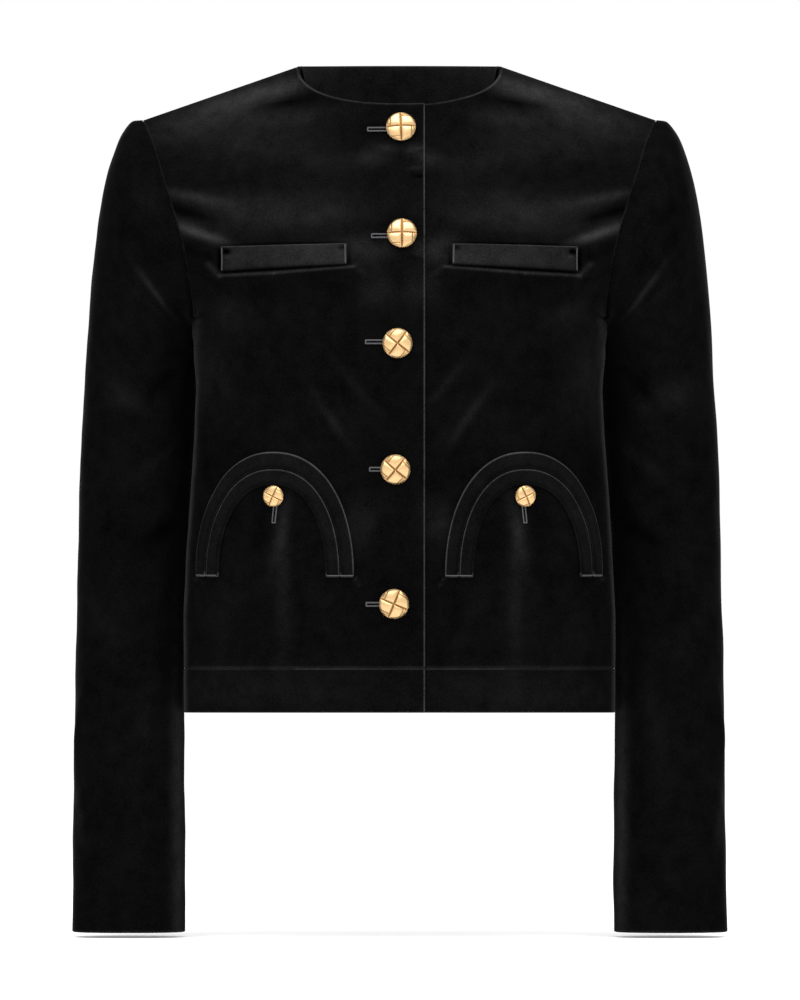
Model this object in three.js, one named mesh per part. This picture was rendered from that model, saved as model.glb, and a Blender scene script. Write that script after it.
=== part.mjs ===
// Cropped collarless velvet jacket, buttoned up the front, in the hollow form it has when worn.
// Units are millimetres, +Z is up and the front faces -Y, so the wearer's right side is at -X.
// The origin is midway between the two side neck points, where the shoulders carry the jacket.

import * as THREE from "three";

// Driving dimensions of the cut
const CLOTH = 2.4; // velvet, interlining and lining as one wall
const SEAM_GAP = 0.36; // between two pieces that are sewn edge to edge
const LONGEST_MITRE = 1.5; // at the armhole seam, in wall thicknesses
const LAYER_GAP = 0.6; // between the two fronts where they lap
const TRIM_GAP = 0.4; // under a welt or band that lies on a front
const NECK_HALF_WIDTH = 79;
const FRONT_NECK = { y: -61, z: -29.5, power: 2.3 };
const BACK_NECK = { y: 60, z: 2.5, power: 2.05 };
const SHOULDER_SEAM_Y = 4;
const SHOULDER_X = 197; // centre back to armhole seam
const SHOULDER_DROP = 41; // side neck point down to the shoulder point
const HEM_Z = -495;
const UNDERARM_Z = -195;
const BAND_HEIGHT = 35;
const FRONT_OVERLAP = 19.5; // how far each front runs past the centre line
const UNDERLAP_END = 54; // where the underneath front is back at the surface
const FRONT_POWER = 2.5; // squareness of the front half of the body's sections
const BACK_POWER = 2.2;
const NECK_SHARE = 0.3; // the share of a front's columns that ends on the neckline
const TOP_FADE = 3; // how fast the neckline and shoulder fade out downwards
const CORNER_FADE = 12; // the same for the corner between them
const CORNER_SPREAD = 0.3; // the share of a front over which that corner is softened

// The front, level by level: -1 is the hem, 0 the underarm, 1 the neckline and shoulder seam.
// The centre is a point of the front line, the edge a point of the side seam or the armhole.
const FRONT_SECTIONS = [
  { level: -1.0, centreY: -85, centreZ: -494, edgeX: 165.0, edgeY: 0, edgeZ: -495, sweep: 90 },
  { level: -0.88, centreY: -85, centreZ: -459, edgeX: 165.2, edgeY: 0, edgeZ: -460, sweep: 90 },
  { level: -0.77, centreY: -86, centreZ: -425, edgeX: 165.4, edgeY: 0, edgeZ: -426, sweep: 90 },
  { level: -0.63, centreY: -88, centreZ: -384, edgeX: 163.5, edgeY: 0, edgeZ: -384, sweep: 90 },
  { level: -0.46, centreY: -92, centreZ: -333, edgeX: 160.5, edgeY: 0, edgeZ: -333, sweep: 90 },
  { level: -0.25, centreY: -99, centreZ: -270, edgeX: 156.4, edgeY: 0, edgeZ: -270, sweep: 90 },
  { level: -0.08, centreY: -104, centreZ: -219, edgeX: 154.9, edgeY: 0, edgeZ: -219, sweep: 90 },
  { level: 0.0, centreY: -104, centreZ: -193, edgeX: 155.5, edgeY: 0, edgeZ: -195, sweep: 90 },
  { level: 0.1, centreY: -103, centreZ: -176, edgeX: 157.3, edgeY: -25, edgeZ: -191, sweep: 76 },
  { level: 0.22, centreY: -99.5, centreZ: -156, edgeX: 159.8, edgeY: -43, edgeZ: -173, sweep: 60 },
  { level: 0.36, centreY: -94, centreZ: -132, edgeX: 163.8, edgeY: -50, edgeZ: -147, sweep: 48 },
  { level: 0.5, centreY: -87, centreZ: -108, edgeX: 169.8, edgeY: -51, edgeZ: -122, sweep: 42 },
  { level: 0.64, centreY: -79.5, centreZ: -85, edgeX: 177.3, edgeY: -47, edgeZ: -98, sweep: 40 },
  { level: 0.78, centreY: -72, centreZ: -63, edgeX: 184.4, edgeY: -38, edgeZ: -75, sweep: 40 },
  { level: 0.9, centreY: -66, centreZ: -45, edgeX: 190.4, edgeY: -22, edgeZ: -56, sweep: 40 },
  { level: 1.0, centreY: -61, centreZ: -29.5, edgeX: 197.0, edgeY: 4, edgeZ: -41, sweep: 40 },
];

// The back in the same way, with its shoulder blades at level 0.3.
const BACK_SECTIONS = [
  { level: -1.0, centreY: 100, centreZ: -495, edgeX: 165.0, edgeY: 0, edgeZ: -495, sweep: 90 },
  { level: -0.88, centreY: 98, centreZ: -460, edgeX: 165.2, edgeY: 0, edgeZ: -460, sweep: 90 },
  { level: -0.77, centreY: 95, centreZ: -426, edgeX: 165.4, edgeY: 0, edgeZ: -426, sweep: 90 },
  { level: -0.63, centreY: 91, centreZ: -384, edgeX: 163.5, edgeY: 0, edgeZ: -384, sweep: 90 },
  { level: -0.46, centreY: 89, centreZ: -333, edgeX: 160.5, edgeY: 0, edgeZ: -333, sweep: 90 },
  { level: -0.25, centreY: 94, centreZ: -270, edgeX: 156.4, edgeY: 0, edgeZ: -270, sweep: 90 },
  { level: -0.08, centreY: 102, centreZ: -219, edgeX: 154.9, edgeY: 0, edgeZ: -219, sweep: 90 },
  { level: 0.0, centreY: 106, centreZ: -193, edgeX: 155.5, edgeY: 0, edgeZ: -195, sweep: 90 },
  { level: 0.1, centreY: 109, centreZ: -175, edgeX: 157.8, edgeY: 25, edgeZ: -191, sweep: 78 },
  { level: 0.22, centreY: 111, centreZ: -152, edgeX: 161.8, edgeY: 43, edgeZ: -173, sweep: 64 },
  { level: 0.36, centreY: 110, centreZ: -126, edgeX: 166.6, edgeY: 53, edgeZ: -147, sweep: 54 },
  { level: 0.5, centreY: 106, centreZ: -99, edgeX: 171.8, edgeY: 56, edgeZ: -122, sweep: 48 },
  { level: 0.64, centreY: 99, centreZ: -73, edgeX: 178.0, edgeY: 53, edgeZ: -98, sweep: 44 },
  { level: 0.78, centreY: 88, centreZ: -46, edgeX: 184.6, edgeY: 44, edgeZ: -75, sweep: 42 },
  { level: 0.9, centreY: 76, centreZ: -22, edgeX: 190.5, edgeY: 28, edgeZ: -56, sweep: 40 },
  { level: 1.0, centreY: 60, centreZ: 2.5, edgeX: 197.0, edgeY: 4, edgeZ: -41, sweep: 40 },
];

// The sleeve, ring by ring, from the armhole to the cuff. Each ring spans from its outer point, on the
// top of the arm, to its inner point, under the arm, and is centred on y and as deep as depth each way.
const SLEEVE_RINGS = [
  { ring: 0, outerX: 197.0, outerZ: -41.0, innerX: 155.5, innerZ: -195.0, y: 3, depth: 55 },
  { ring: 1, outerX: 203.5, outerZ: -41.8, innerX: 158.0, innerZ: -195.8, y: 3, depth: 59 },
  { ring: 2, outerX: 212.5, outerZ: -52.0, innerX: 158.6, innerZ: -198.5, y: 5, depth: 61 },
  { ring: 3, outerX: 219.8, outerZ: -69.0, innerX: 158.5, innerZ: -202.0, y: 8, depth: 62 },
  { ring: 4, outerX: 226.2, outerZ: -90.0, innerX: 157.4, innerZ: -206.5, y: 13, depth: 62 },
  { ring: 5, outerX: 230.6, outerZ: -114.0, innerX: 156.4, innerZ: -213.0, y: 18, depth: 62 },
  { ring: 6, outerX: 234.0, outerZ: -141.0, innerX: 155.2, innerZ: -221.0, y: 23, depth: 61 },
  { ring: 7, outerX: 237.2, outerZ: -172.0, innerX: 154.6, innerZ: -231.0, y: 27, depth: 60 },
  { ring: 8, outerX: 240.0, outerZ: -212.0, innerX: 154.6, innerZ: -247.0, y: 29, depth: 58 },
  { ring: 9, outerX: 242.4, outerZ: -255.0, innerX: 155.6, innerZ: -270.0, y: 30, depth: 56 },
  { ring: 10, outerX: 244.6, outerZ: -294.0, innerX: 157.4, innerZ: -300.0, y: 31, depth: 54 },
  { ring: 11, outerX: 246.0, outerZ: -336.0, innerX: 159.6, innerZ: -338.0, y: 31, depth: 52 },
  { ring: 12, outerX: 247.0, outerZ: -380.0, innerX: 162.2, innerZ: -380.0, y: 30, depth: 50 },
  { ring: 13, outerX: 248.0, outerZ: -425.0, innerX: 164.2, innerZ: -425.0, y: 28, depth: 48 },
  { ring: 14, outerX: 248.8, outerZ: -470.0, innerX: 165.0, innerZ: -470.0, y: 25, depth: 46 },
  { ring: 15, outerX: 249.4, outerZ: -516.0, innerX: 164.8, innerZ: -516.0, y: 21, depth: 44 },
  { ring: 16, outerX: 249.9, outerZ: -564.0, innerX: 164.5, innerZ: -564.0, y: 16, depth: 42 },
  { ring: 17, outerX: 250.4, outerZ: -613.0, innerX: 164.2, innerZ: -613.0, y: 11, depth: 41 },
  { ring: 18, outerX: 250.9, outerZ: -663.0, innerX: 164.3, innerZ: -663.0, y: 6, depth: 39 },
];
const SLEEVE_POWER = 2.15;
const FOLD_RING = 40; // one ring step counts as this many millimetres along a fold
const ARMHOLE_FADE = 4; // rings over which the armhole's own outline fades into the sleeve

// Drag lines on each front, as seen from the front: soft ridges (+) and troughs (-) between two points.
const FRONT_FOLDS = [
  { fromX: 180, fromZ: -97, toX: 118, toZ: -118, width: 9, height: 2.6 },
  { fromX: 178, fromZ: -113, toX: 132, toZ: -125, width: 8, height: -3.0 },
  { fromX: 172, fromZ: -125, toX: 130, toZ: -138, width: 7, height: 2.4 },
  { fromX: 62, fromZ: -252, toX: 22, toZ: -312, width: 8, height: 1.3 },
  { fromX: 96, fromZ: -330, toX: 98, toZ: -440, width: 13, height: 1.4 },
];

// Soft creases down the back, in the same columns.
const BACK_FOLDS = [
  { fromX: 168, fromZ: -120, toX: 120, toZ: -205, width: 10, height: 2.4 },
  { fromX: 140, fromZ: -150, toX: 104, toZ: -300, width: 14, height: -2.0 },
  { fromX: 60, fromZ: -330, toX: 70, toZ: -470, width: 16, height: 1.6 },
];

// Creases round each sleeve: ring and angle (0 outer, 90 front, 180 inner, 270 back) at both ends.
const SLEEVE_FOLDS = [
  { fromRing: 4.5, fromAngle: 128, toRing: 8, toAngle: 62, width: 12, height: 2.2 },
  { fromRing: 6.5, fromAngle: 132, toRing: 10, toAngle: 80, width: 12, height: -2.0 },
  { fromRing: 10.6, fromAngle: 138, toRing: 12.4, toAngle: 70, width: 11, height: 1.8 },
  { fromRing: 15.2, fromAngle: 12, toRing: 13.4, toAngle: 60, width: 10, height: 1.6 },
  { fromRing: 4.5, fromAngle: 232, toRing: 8.5, toAngle: 300, width: 13, height: 2.2 },
  { fromRing: 9.5, fromAngle: 225, toRing: 12.5, toAngle: 290, width: 13, height: -2.0 },
  { fromRing: 11.5, fromAngle: 222, toRing: 14, toAngle: 285, width: 12, height: 2.0 },
];

// Chest welt, as seen from the front: the end near the centre and the end near the armhole.
const CHEST_WELT = {
  innerX: 40.0, innerTop: -137.2, innerBottom: -153.0,
  outerX: 135.0, outerTop: -139.2, outerBottom: -157.8,
  rise: 1.6,
};

// Arched pocket on each front: three arches round one centre, with a band in each gap between them.
const ARCH_CENTRE_X = 95.5;
const ARCH_BASE_Z = -390.8;
const ARCH_POWER = 2.2;
const ARCHES = [
  { centreHalf: 61.2, sideHalf: 58.4, peakZ: -295.0 },
  { centreHalf: 50.2, sideHalf: 51.0, peakZ: -308.2 },
  { centreHalf: 39.2, sideHalf: 41.4, peakZ: -320.6 },
];
const BAND_RISES = [2.0, 1.6];

// Domed buttons in a woven-knot pattern: where each one sits and how it is turned.
const BUTTON = { radius: 11.4, rim: 1.6, dome: 4.2, groove: 0.7 };
const FRONT_BUTTONS = [
  { x: 1.1, z: -48.5, turn: 2 },
  { x: 1.9, z: -129.9, turn: 0 },
  { x: -1.5, z: -213.0, turn: -38 },
  { x: -3.1, z: -308.6, turn: -40 },
  { x: -4.2, z: -411.0, turn: -23 },
];
const POCKET_BUTTON = { radius: 8.1, rim: 1.2, dome: 3.0, groove: 0.5 };
const POCKET_BUTTON_X = 95;
const POCKET_BUTTON_Z = -329;
const POCKET_BUTTON_TURN = 26; // turned the other way on the wearer's right

// Back neck facing, the only part of the inside that shows.
const FACING = { thickness: 1.0, rows: 4, reach: 0.95 };

// How finely the cloth is divided.
const BODY_ROWS = 11;
const BAND_ROWS = 2;
const YOKE_ROWS = 11;
const NECK_COLUMNS = 6;
const SHOULDER_COLUMNS = 11;

const clamp = THREE.MathUtils.clamp;
const lerp = THREE.MathUtils.lerp;
const smooth = (a, b, x) => THREE.MathUtils.smoothstep(x, a, b);
const vec = (x, y, z) => new THREE.Vector3(x, y, z);
const steps = (from, to, count) => Array.from({ length: count + 1 }, (_, i) => lerp(from, to, i / count));

// A column of a table at any value of its key, on a curve that never overshoots its rows.
function readTable(rows, key, column, at) {
  const last = rows.length - 1;
  const x = clamp(at, rows[0][key], rows[last][key]);
  let i = 0;
  while (i < last - 1 && x > rows[i + 1][key]) i++;
  const rise = (k) => (rows[k + 1][column] - rows[k][column]) / (rows[k + 1][key] - rows[k][key]);
  const slope = (k) => {
    if (k === 0) return rise(0);
    if (k === last) return rise(last - 1);
    const [before, after] = [rise(k - 1), rise(k)];
    return before * after <= 0 ? 0 : (2 * before * after) / (before + after);
  };
  const step = rows[i + 1][key] - rows[i][key];
  const t = (x - rows[i][key]) / step;
  const [a, b] = [rows[i][column], rows[i + 1][column]];
  const flat = t * t * (3 - 2 * t);
  const leave = t * (1 - t) * (1 - t) * step * slope(i);
  const arrive = t * t * (t - 1) * step * slope(i + 1);
  return a + (b - a) * flat + leave + arrive;
}

// Height of a set of soft folds at one point of a flat picture of the piece.
function foldHeight(folds, u, v, ends) {
  let height = 0;
  for (const fold of folds) {
    const { fromU, fromV, toU, toV, width } = ends(fold);
    const [du, dv] = [toU - fromU, toV - fromV];
    const length = Math.hypot(du, dv);
    const along = ((u - fromU) * du + (v - fromV) * dv) / (length * length);
    const off = ((u - fromU) * dv - (v - fromV) * du) / length;
    const fade = smooth(-0.25, 0.2, along) * (1 - smooth(0.6, 1.25, along));
    height += fold.height * fade * Math.exp(-((off / width) ** 2));
  }
  return height;
}

// The two halves of the body
const FRONT = {
  sections: FRONT_SECTIONS, neck: FRONT_NECK, folds: FRONT_FOLDS, power: FRONT_POWER, facing: 1,
};
const BACK = {
  sections: BACK_SECTIONS, neck: BACK_NECK, folds: BACK_FOLDS, power: BACK_POWER, facing: -1,
};
const bodyFoldEnds = (f) => ({ fromU: f.fromX, fromV: f.fromZ, toU: f.toX, toV: f.toZ, width: f.width });

// A point of a half's plain section. across runs from 0 at the centre to 1 at the side or armhole.
function sectionPoint(half, across, level) {
  const read = (column) => readTable(half.sections, "level", column, level);
  const sweep = THREE.MathUtils.degToRad(read("sweep"));
  const angle = Math.min(Math.abs(across), 1) * sweep;
  const power = 2 / half.power;
  const side = (Math.sin(angle) / Math.sin(sweep)) ** power;
  const depth = (1 - Math.max(Math.cos(angle), 0) ** power) / (1 - Math.max(Math.cos(sweep), 0) ** power);
  const [centreY, centreZ] = [read("centreY"), read("centreZ")];
  return vec(
    Math.sign(across) * read("edgeX") * side,
    lerp(centreY, read("edgeY"), depth),
    lerp(centreZ, read("edgeZ"), across * across),
  );
}

// A point of the top edge: the neckline up to the side neck point, then the shoulder seam.
function topEdgePoint(half, across) {
  const share = Math.abs(across) / NECK_SHARE;
  if (share > 1) {
    const out = (Math.abs(across) - NECK_SHARE) / (1 - NECK_SHARE);
    const x = lerp(NECK_HALF_WIDTH, SHOULDER_X, out);
    return vec(Math.sign(across) * x, SHOULDER_SEAM_Y, -SHOULDER_DROP * out);
  }
  const angle = (share * Math.PI) / 2;
  const down = Math.max(Math.cos(angle), 0) ** (2 / half.neck.power);
  return vec(
    Math.sign(across) * NECK_HALF_WIDTH * Math.sin(angle) ** (2 / half.neck.power),
    lerp(SHOULDER_SEAM_Y, half.neck.y, down),
    half.neck.z * down,
  );
}

// The way from the top section to the top edge, and the same with its corner softened.
const topShift = (half, across) => topEdgePoint(half, across).sub(sectionPoint(half, across, 1));
function softTopShift(half, across) {
  const spread = Math.min(CORNER_SPREAD, 1 - Math.abs(across), Math.abs(across));
  const soft = vec(0, 0, 0);
  let total = 0;
  for (const t of steps(-1, 1, 10)) {
    const weight = 1.05 - t * t;
    soft.addScaledVector(topShift(half, across + t * spread), weight);
    total += weight;
  }
  return soft.divideScalar(total);
}

// A point of the body's outside before any fold.
function plainPoint(half, across, level) {
  const point = sectionPoint(half, across, level);
  if (level <= 0) return point;
  const soft = softTopShift(half, across);
  point.addScaledVector(soft, level ** TOP_FADE);
  return point.addScaledVector(topShift(half, across).sub(soft), level ** CORNER_FADE);
}

// Outward normal of the body, with one shared direction where two pieces meet at a seam.
function bodyNormal(half, across, level) {
  if (level >= 1 && Math.abs(across) >= NECK_SHARE)
    return vec(Math.sign(across) * SHOULDER_DROP, 0, SHOULDER_X - NECK_HALF_WIDTH).normalize();
  if (level <= 0 && Math.abs(across) >= 1) return vec(Math.sign(across), 0, 0);
  const e = 0.004;
  const [a0, a1] = [Math.max(across - e, -1), Math.min(across + e, 1)];
  const [l0, l1] = [Math.max(level - e, -1), Math.min(level + e, 1)];
  const alongRow = plainPoint(half, a1, level).sub(plainPoint(half, a0, level));
  const upColumn = plainPoint(half, across, l1).sub(plainPoint(half, across, l0));
  return alongRow.cross(upColumn).multiplyScalar(half.facing).normalize();
}

// A point of the body's outside, with its folds, which die away at the armhole and the top edge.
function bodyPoint(half, across, level) {
  const point = plainPoint(half, across, level);
  const inside = (1 - smooth(0.92, 1, Math.abs(across))) * (1 - smooth(0.85, 1, level));
  const height = foldHeight(half.folds, Math.abs(point.x), point.z, bodyFoldEnds) * inside;
  return point.addScaledVector(bodyNormal(half, across, level), height);
}

// The share across at which a level of a half reaches a given x.
function acrossAt(half, x, level) {
  let [low, high] = [0, 1];
  for (let i = 0; i < 30; i++) {
    const middle = (low + high) / 2;
    if (plainPoint(half, middle, level).x < Math.abs(x)) low = middle;
    else high = middle;
  }
  return (Math.sign(x) * (low + high)) / 2;
}

// The share across and the level of the point that shows at x and z from the front.
function placeAt(half, x, z) {
  let [low, high] = [-1, 1];
  for (let i = 0; i < 30; i++) {
    const middle = (low + high) / 2;
    if (plainPoint(half, acrossAt(half, x, middle), middle).z < z) low = middle;
    else high = middle;
  }
  return { across: acrossAt(half, x, (low + high) / 2), level: (low + high) / 2 };
}

// How far the underneath front steps in, so that it passes below the other one at the centre.
const underlapDepth = (x) => (CLOTH + LAYER_GAP) * (1 - smooth(FRONT_OVERLAP + 4, UNDERLAP_END, x));

// A closed wall between two grids of points, each grid[row][column]. A ring joins its last column to its
// first. Where the columns cross the centre line, the triangles on both sides of it mirror each other.
function wall(outer, inner, ring = false) {
  const rows = outer.length;
  const columns = outer[0].length;
  const crosses = !ring && outer[0][0].x * outer[0][columns - 1].x < -(NECK_HALF_WIDTH ** 2) / 2;
  const centre = crosses ? (columns - 1) / 2 : 0;
  const layers = [outer, inner];
  const positions = layers.flat(2).flatMap((p) => [p.x, p.y, p.z]);
  const index = [];
  const at = (layer, j, i) => (layer * rows + j) * columns + (i % columns);
  const quad = (a, b, c, d) => index.push(a, b, c, a, c, d);
  const end = ([j, i], [m, n]) => {
    const corners = [at(0, j, i), at(0, m, n), at(1, m, n), at(1, j, i)];
    if (outer[j][i % columns].z > outer[m][n % columns].z) corners.push(corners.shift());
    quad(...corners);
  };
  const spans = ring ? columns : columns - 1;
  for (let j = 0; j < rows - 1; j++)
    for (let i = 0; i < spans; i++)
      for (const layer of [0, 1]) {
        const corners = [at(layer, j, i), at(layer, j, i + 1), at(layer, j + 1, i + 1), at(layer, j + 1, i)];
        if (i < centre) corners.push(corners.shift());
        if (layer === 1) corners.reverse();
        quad(...corners);
      }
  for (let i = 0; i < spans; i++) {
    end([0, i + 1], [0, i]);
    end([rows - 1, i], [rows - 1, i + 1]);
  }
  if (!ring)
    for (let j = 0; j < rows - 1; j++) {
      end([j, 0], [j + 1, 0]);
      end([j + 1, columns - 1], [j, columns - 1]);
    }
  return facingOut(positions, index);
}

// A geometry from points and triangles, turned so that its faces point out.
function facingOut(positions, index) {
  const corner = (k) => vec(positions[3 * k], positions[3 * k + 1], positions[3 * k + 2]);
  let volume = 0;
  for (let i = 0; i < index.length; i += 3)
    volume += corner(index[i]).dot(corner(index[i + 1]).cross(corner(index[i + 2])));
  if (volume < 0)
    for (let i = 0; i < index.length; i += 3) [index[i + 1], index[i + 2]] = [index[i + 2], index[i + 1]];
  const geometry = new THREE.BufferGeometry();
  geometry.setAttribute("position", new THREE.Float32BufferAttribute(positions, 3));
  geometry.setIndex(index);
  geometry.computeVertexNormals();
  return geometry;
}

// The directions from a spot of a piece to the seams that it lies on.
function seamsAt(half, across, level, levels) {
  const atEdge = Math.abs(across) >= 1;
  const seams = [];
  if (atEdge && level >= 0) {
    const { away } = armholeSpot(half, level);
    seams.push(vec(Math.sign(across) * away.x, away.y, away.z));
  }
  if (atEdge && level <= 0) seams.push(vec(0, half.facing, 0));
  if (level >= 1 && Math.abs(across) >= NECK_SHARE) seams.push(vec(0, half.facing, 0));
  if (level === bandLevel) seams.push(vec(0, 0, level === levels[0] ? -1 : 1));
  return seams;
}

// The way through the cloth, from the outside in, which is mitred where a panel meets a sleeve.
function throughCloth(half, across, level) {
  if (Math.abs(across) < 1 || level < 0) return bodyNormal(half, across, level).multiplyScalar(-CLOTH);
  const { through } = armholeSpot(half, level);
  return vec(Math.sign(across) * through.x, through.y, through.z);
}

// A piece of the body's cloth: levels by columns, drawn back from its seams and made into a wall.
function bodyPiece(half, levels, columnsAt, depthAt = () => 0, mirror = false) {
  const outer = [];
  const inner = [];
  for (const level of levels) {
    const row = columnsAt(level).map((across) => {
      const normal = bodyNormal(half, across, level);
      const point = bodyPoint(half, across, level);
      point.addScaledVector(normal, -depthAt(point.x));
      for (const seam of seamsAt(half, across, level, levels)) point.addScaledVector(seam, -SEAM_GAP / 2);
      return { point, under: point.clone().add(throughCloth(half, across, level)) };
    });
    outer.push(row.map((spot) => spot.point));
    inner.push(row.map((spot) => spot.under));
  }
  if (mirror) [...outer.flat(), ...inner.flat()].forEach((p) => (p.x = -p.x));
  return wall(outer, inner);
}

const bandLevel = -1 + BAND_HEIGHT / (UNDERARM_Z - HEM_Z);
const panelLevels = [...steps(bandLevel, 0, BODY_ROWS), ...steps(0, 1, YOKE_ROWS).slice(1)];
const bandLevels = steps(-1, bandLevel, BAND_ROWS);
const halfColumns = [
  ...steps(0, NECK_SHARE, NECK_COLUMNS),
  ...steps(NECK_SHARE, 1, SHOULDER_COLUMNS).slice(1),
];

// Columns of a front at one level: past the centre line to the front edge, then out to the side.
function frontColumns(level) {
  const edge = acrossAt(FRONT, FRONT_OVERLAP, level);
  return [-edge, -edge / 2, ...halfColumns];
}
const backColumns = () => [...halfColumns.slice(1).reverse().map((a) => -a), ...halfColumns];

// A ring of the sleeve: its centre, the arm of the ring towards its outer point, and its depth.
function sleeveRing(ring) {
  const read = (column) => readTable(SLEEVE_RINGS, "ring", column, ring);
  const outer = vec(read("outerX"), read("y"), read("outerZ"));
  const inner = vec(read("innerX"), read("y"), read("innerZ"));
  return {
    centre: outer.clone().add(inner).multiplyScalar(0.5),
    arm: outer.clone().sub(inner).multiplyScalar(0.5),
    depth: read("depth"),
  };
}

const sleeveFoldEnds = (f) => ({
  fromU: f.fromRing * FOLD_RING,
  fromV: f.fromAngle,
  toU: f.toRing * FOLD_RING,
  toV: f.toAngle,
  width: f.width,
});

// A point of the sleeve's plain outside at a ring and an angle in radians, 0 at its outer point.
function ringPoint(ring, angle) {
  const { centre, arm, depth } = sleeveRing(ring);
  const round = (v) => Math.sign(v) * Math.abs(v) ** (2 / SLEEVE_POWER);
  const point = centre.clone().addScaledVector(arm, round(Math.cos(angle)));
  point.y -= depth * round(Math.sin(angle));
  return point;
}

// The armhole seam at +X, from the shoulder point down the front and up the back. Each spot has its
// place round the sleeve, the way through the cloth that panel and sleeve share, and the way to the sleeve.
function armholeSeam() {
  const levels = panelLevels.filter((level) => level >= 0);
  const front = levels.map((level) => ({ half: FRONT, level })).reverse();
  const back = levels.slice(1, -1).map((level) => ({ half: BACK, level }));
  const spots = [...front, ...back];
  const { centre, arm } = sleeveRing(0);
  spots.forEach((spot) => {
    spot.point = plainPoint(spot.half, 1, spot.level);
    const up = clamp(spot.point.clone().sub(centre).dot(arm) / arm.lengthSq(), -1, 1);
    spot.angle = spot.half === FRONT ? Math.acos(up) : 2 * Math.PI - Math.acos(up);
  });
  spots.forEach((spot, k) => {
    const next = spots[(k + 1) % spots.length].point;
    const previous = spots[(k + spots.length - 1) % spots.length].point;
    const around = next.clone().sub(previous);
    const into = sleevePoint(spot, 1).sub(spot.point);
    const panelNormal = bodyNormal(spot.half, 1, spot.level);
    const shared = around.clone().cross(into).normalize().add(panelNormal).normalize();
    const mitre = Math.min(1 / shared.dot(panelNormal), LONGEST_MITRE);
    spot.away = shared.clone().cross(around).normalize();
    spot.through = shared.multiplyScalar(-CLOTH * mitre);
  });
  return spots;
}

// A point of the sleeve's plain outside in line with a spot of the armhole seam. The first ring is that
// seam, whose own outline fades out over the next few rings.
function sleevePoint(spot, ring) {
  const own = spot.point.clone().sub(ringPoint(0, spot.angle));
  return ringPoint(ring, spot.angle).addScaledVector(own, 1 - smooth(0, ARMHOLE_FADE, ring));
}

// The spot of the armhole seam at one level of a half, which the two halves share at both ends.
function armholeSpot(half, level) {
  return armhole.find((spot) => spot.level === level && (spot.half === half || level === 0 || level === 1));
}

// The whole sleeve at +X or -X, a tube whose first ring is sewn to the armhole.
function sleeve(side) {
  const rings = SLEEVE_RINGS.map((row) => row.ring);
  const plain = rings.map((ring) => armhole.map((spot) => sleevePoint(spot, ring)));
  const count = armhole.length;
  const outer = [];
  const inner = [];
  plain.forEach((row, j) => {
    const spots = row.map((point, k) => {
      const spot = armhole[k];
      if (j === 0) {
        point.addScaledVector(spot.away, SEAM_GAP / 2);
        return { point, under: point.clone().add(spot.through) };
      }
      const around = row[(k + 1) % count].clone().sub(row[(k + count - 1) % count]);
      const along = plain[Math.min(j + 1, rings.length - 1)][k].clone().sub(plain[j - 1][k]);
      const normal = around.cross(along).normalize();
      const degrees = THREE.MathUtils.radToDeg(spot.angle);
      const height = foldHeight(SLEEVE_FOLDS, rings[j] * FOLD_RING, degrees, sleeveFoldEnds);
      const folded = point.clone().addScaledVector(normal, height);
      return { point: folded, under: folded.clone().addScaledVector(normal, -CLOTH) };
    });
    outer.push(spots.map((spot) => spot.point));
    inner.push(spots.map((spot) => spot.under));
  });
  [...outer.flat(), ...inner.flat()].forEach((p) => (p.x *= side));
  return wall(outer, inner, true);
}

// A strip sewn on a front: rows of points across the strip, each raised off the front by its own height.
function stripOnFront(rows, heights, side) {
  const lift = (spot, height) => {
    const { across, level } = placeAt(FRONT, spot.x, spot.z);
    const normal = bodyNormal(FRONT, across, level);
    const point = bodyPoint(FRONT, across, level).addScaledVector(normal, height);
    return vec(side * point.x, point.y, point.z);
  };
  const outer = rows.map((row) => row.map((spot, i) => lift(spot, TRIM_GAP + heights[i])));
  const inner = rows.map((row) => row.map((spot) => lift(spot, TRIM_GAP)));
  return wall(outer, inner);
}

const STRIP_SHARES = [0.02, 0.2, 0.8, 0.98]; // across a strip, from one sewn edge to the other
const stripHeights = (rise) => [0.5, rise, rise, 0.5];

function chestWelt(side) {
  const w = CHEST_WELT;
  const rows = steps(0, 1, 8).map((along) =>
    STRIP_SHARES.map((share) => ({
      x: lerp(w.innerX, w.outerX, along),
      z: lerp(lerp(w.innerTop, w.outerTop, along), lerp(w.innerBottom, w.outerBottom, along), share),
    })),
  );
  return stripOnFront(rows, stripHeights(w.rise), side);
}

// A point of an arch between two of the arches, from the leg by the centre line over to the side leg.
function archPoint(arch, angle) {
  const across = Math.cos(angle);
  const half = across > 0 ? -arch.centreHalf : arch.sideHalf;
  return {
    x: ARCH_CENTRE_X + half * Math.abs(across) ** (2 / ARCH_POWER),
    z: ARCH_BASE_Z + (arch.peakZ - ARCH_BASE_Z) * Math.max(Math.sin(angle), 0) ** (2 / ARCH_POWER),
  };
}

function pocketBand(number, side) {
  const [outerArch, innerArch] = [ARCHES[number], ARCHES[number + 1]];
  const rows = steps(0, Math.PI, 26).map((angle) =>
    STRIP_SHARES.map((share) => {
      const [a, b] = [archPoint(outerArch, angle), archPoint(innerArch, angle)];
      return { x: lerp(a.x, b.x, share), z: lerp(a.z, b.z, share) };
    }),
  );
  return stripOnFront(rows, stripHeights(BAND_RISES[number]), side);
}

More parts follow.
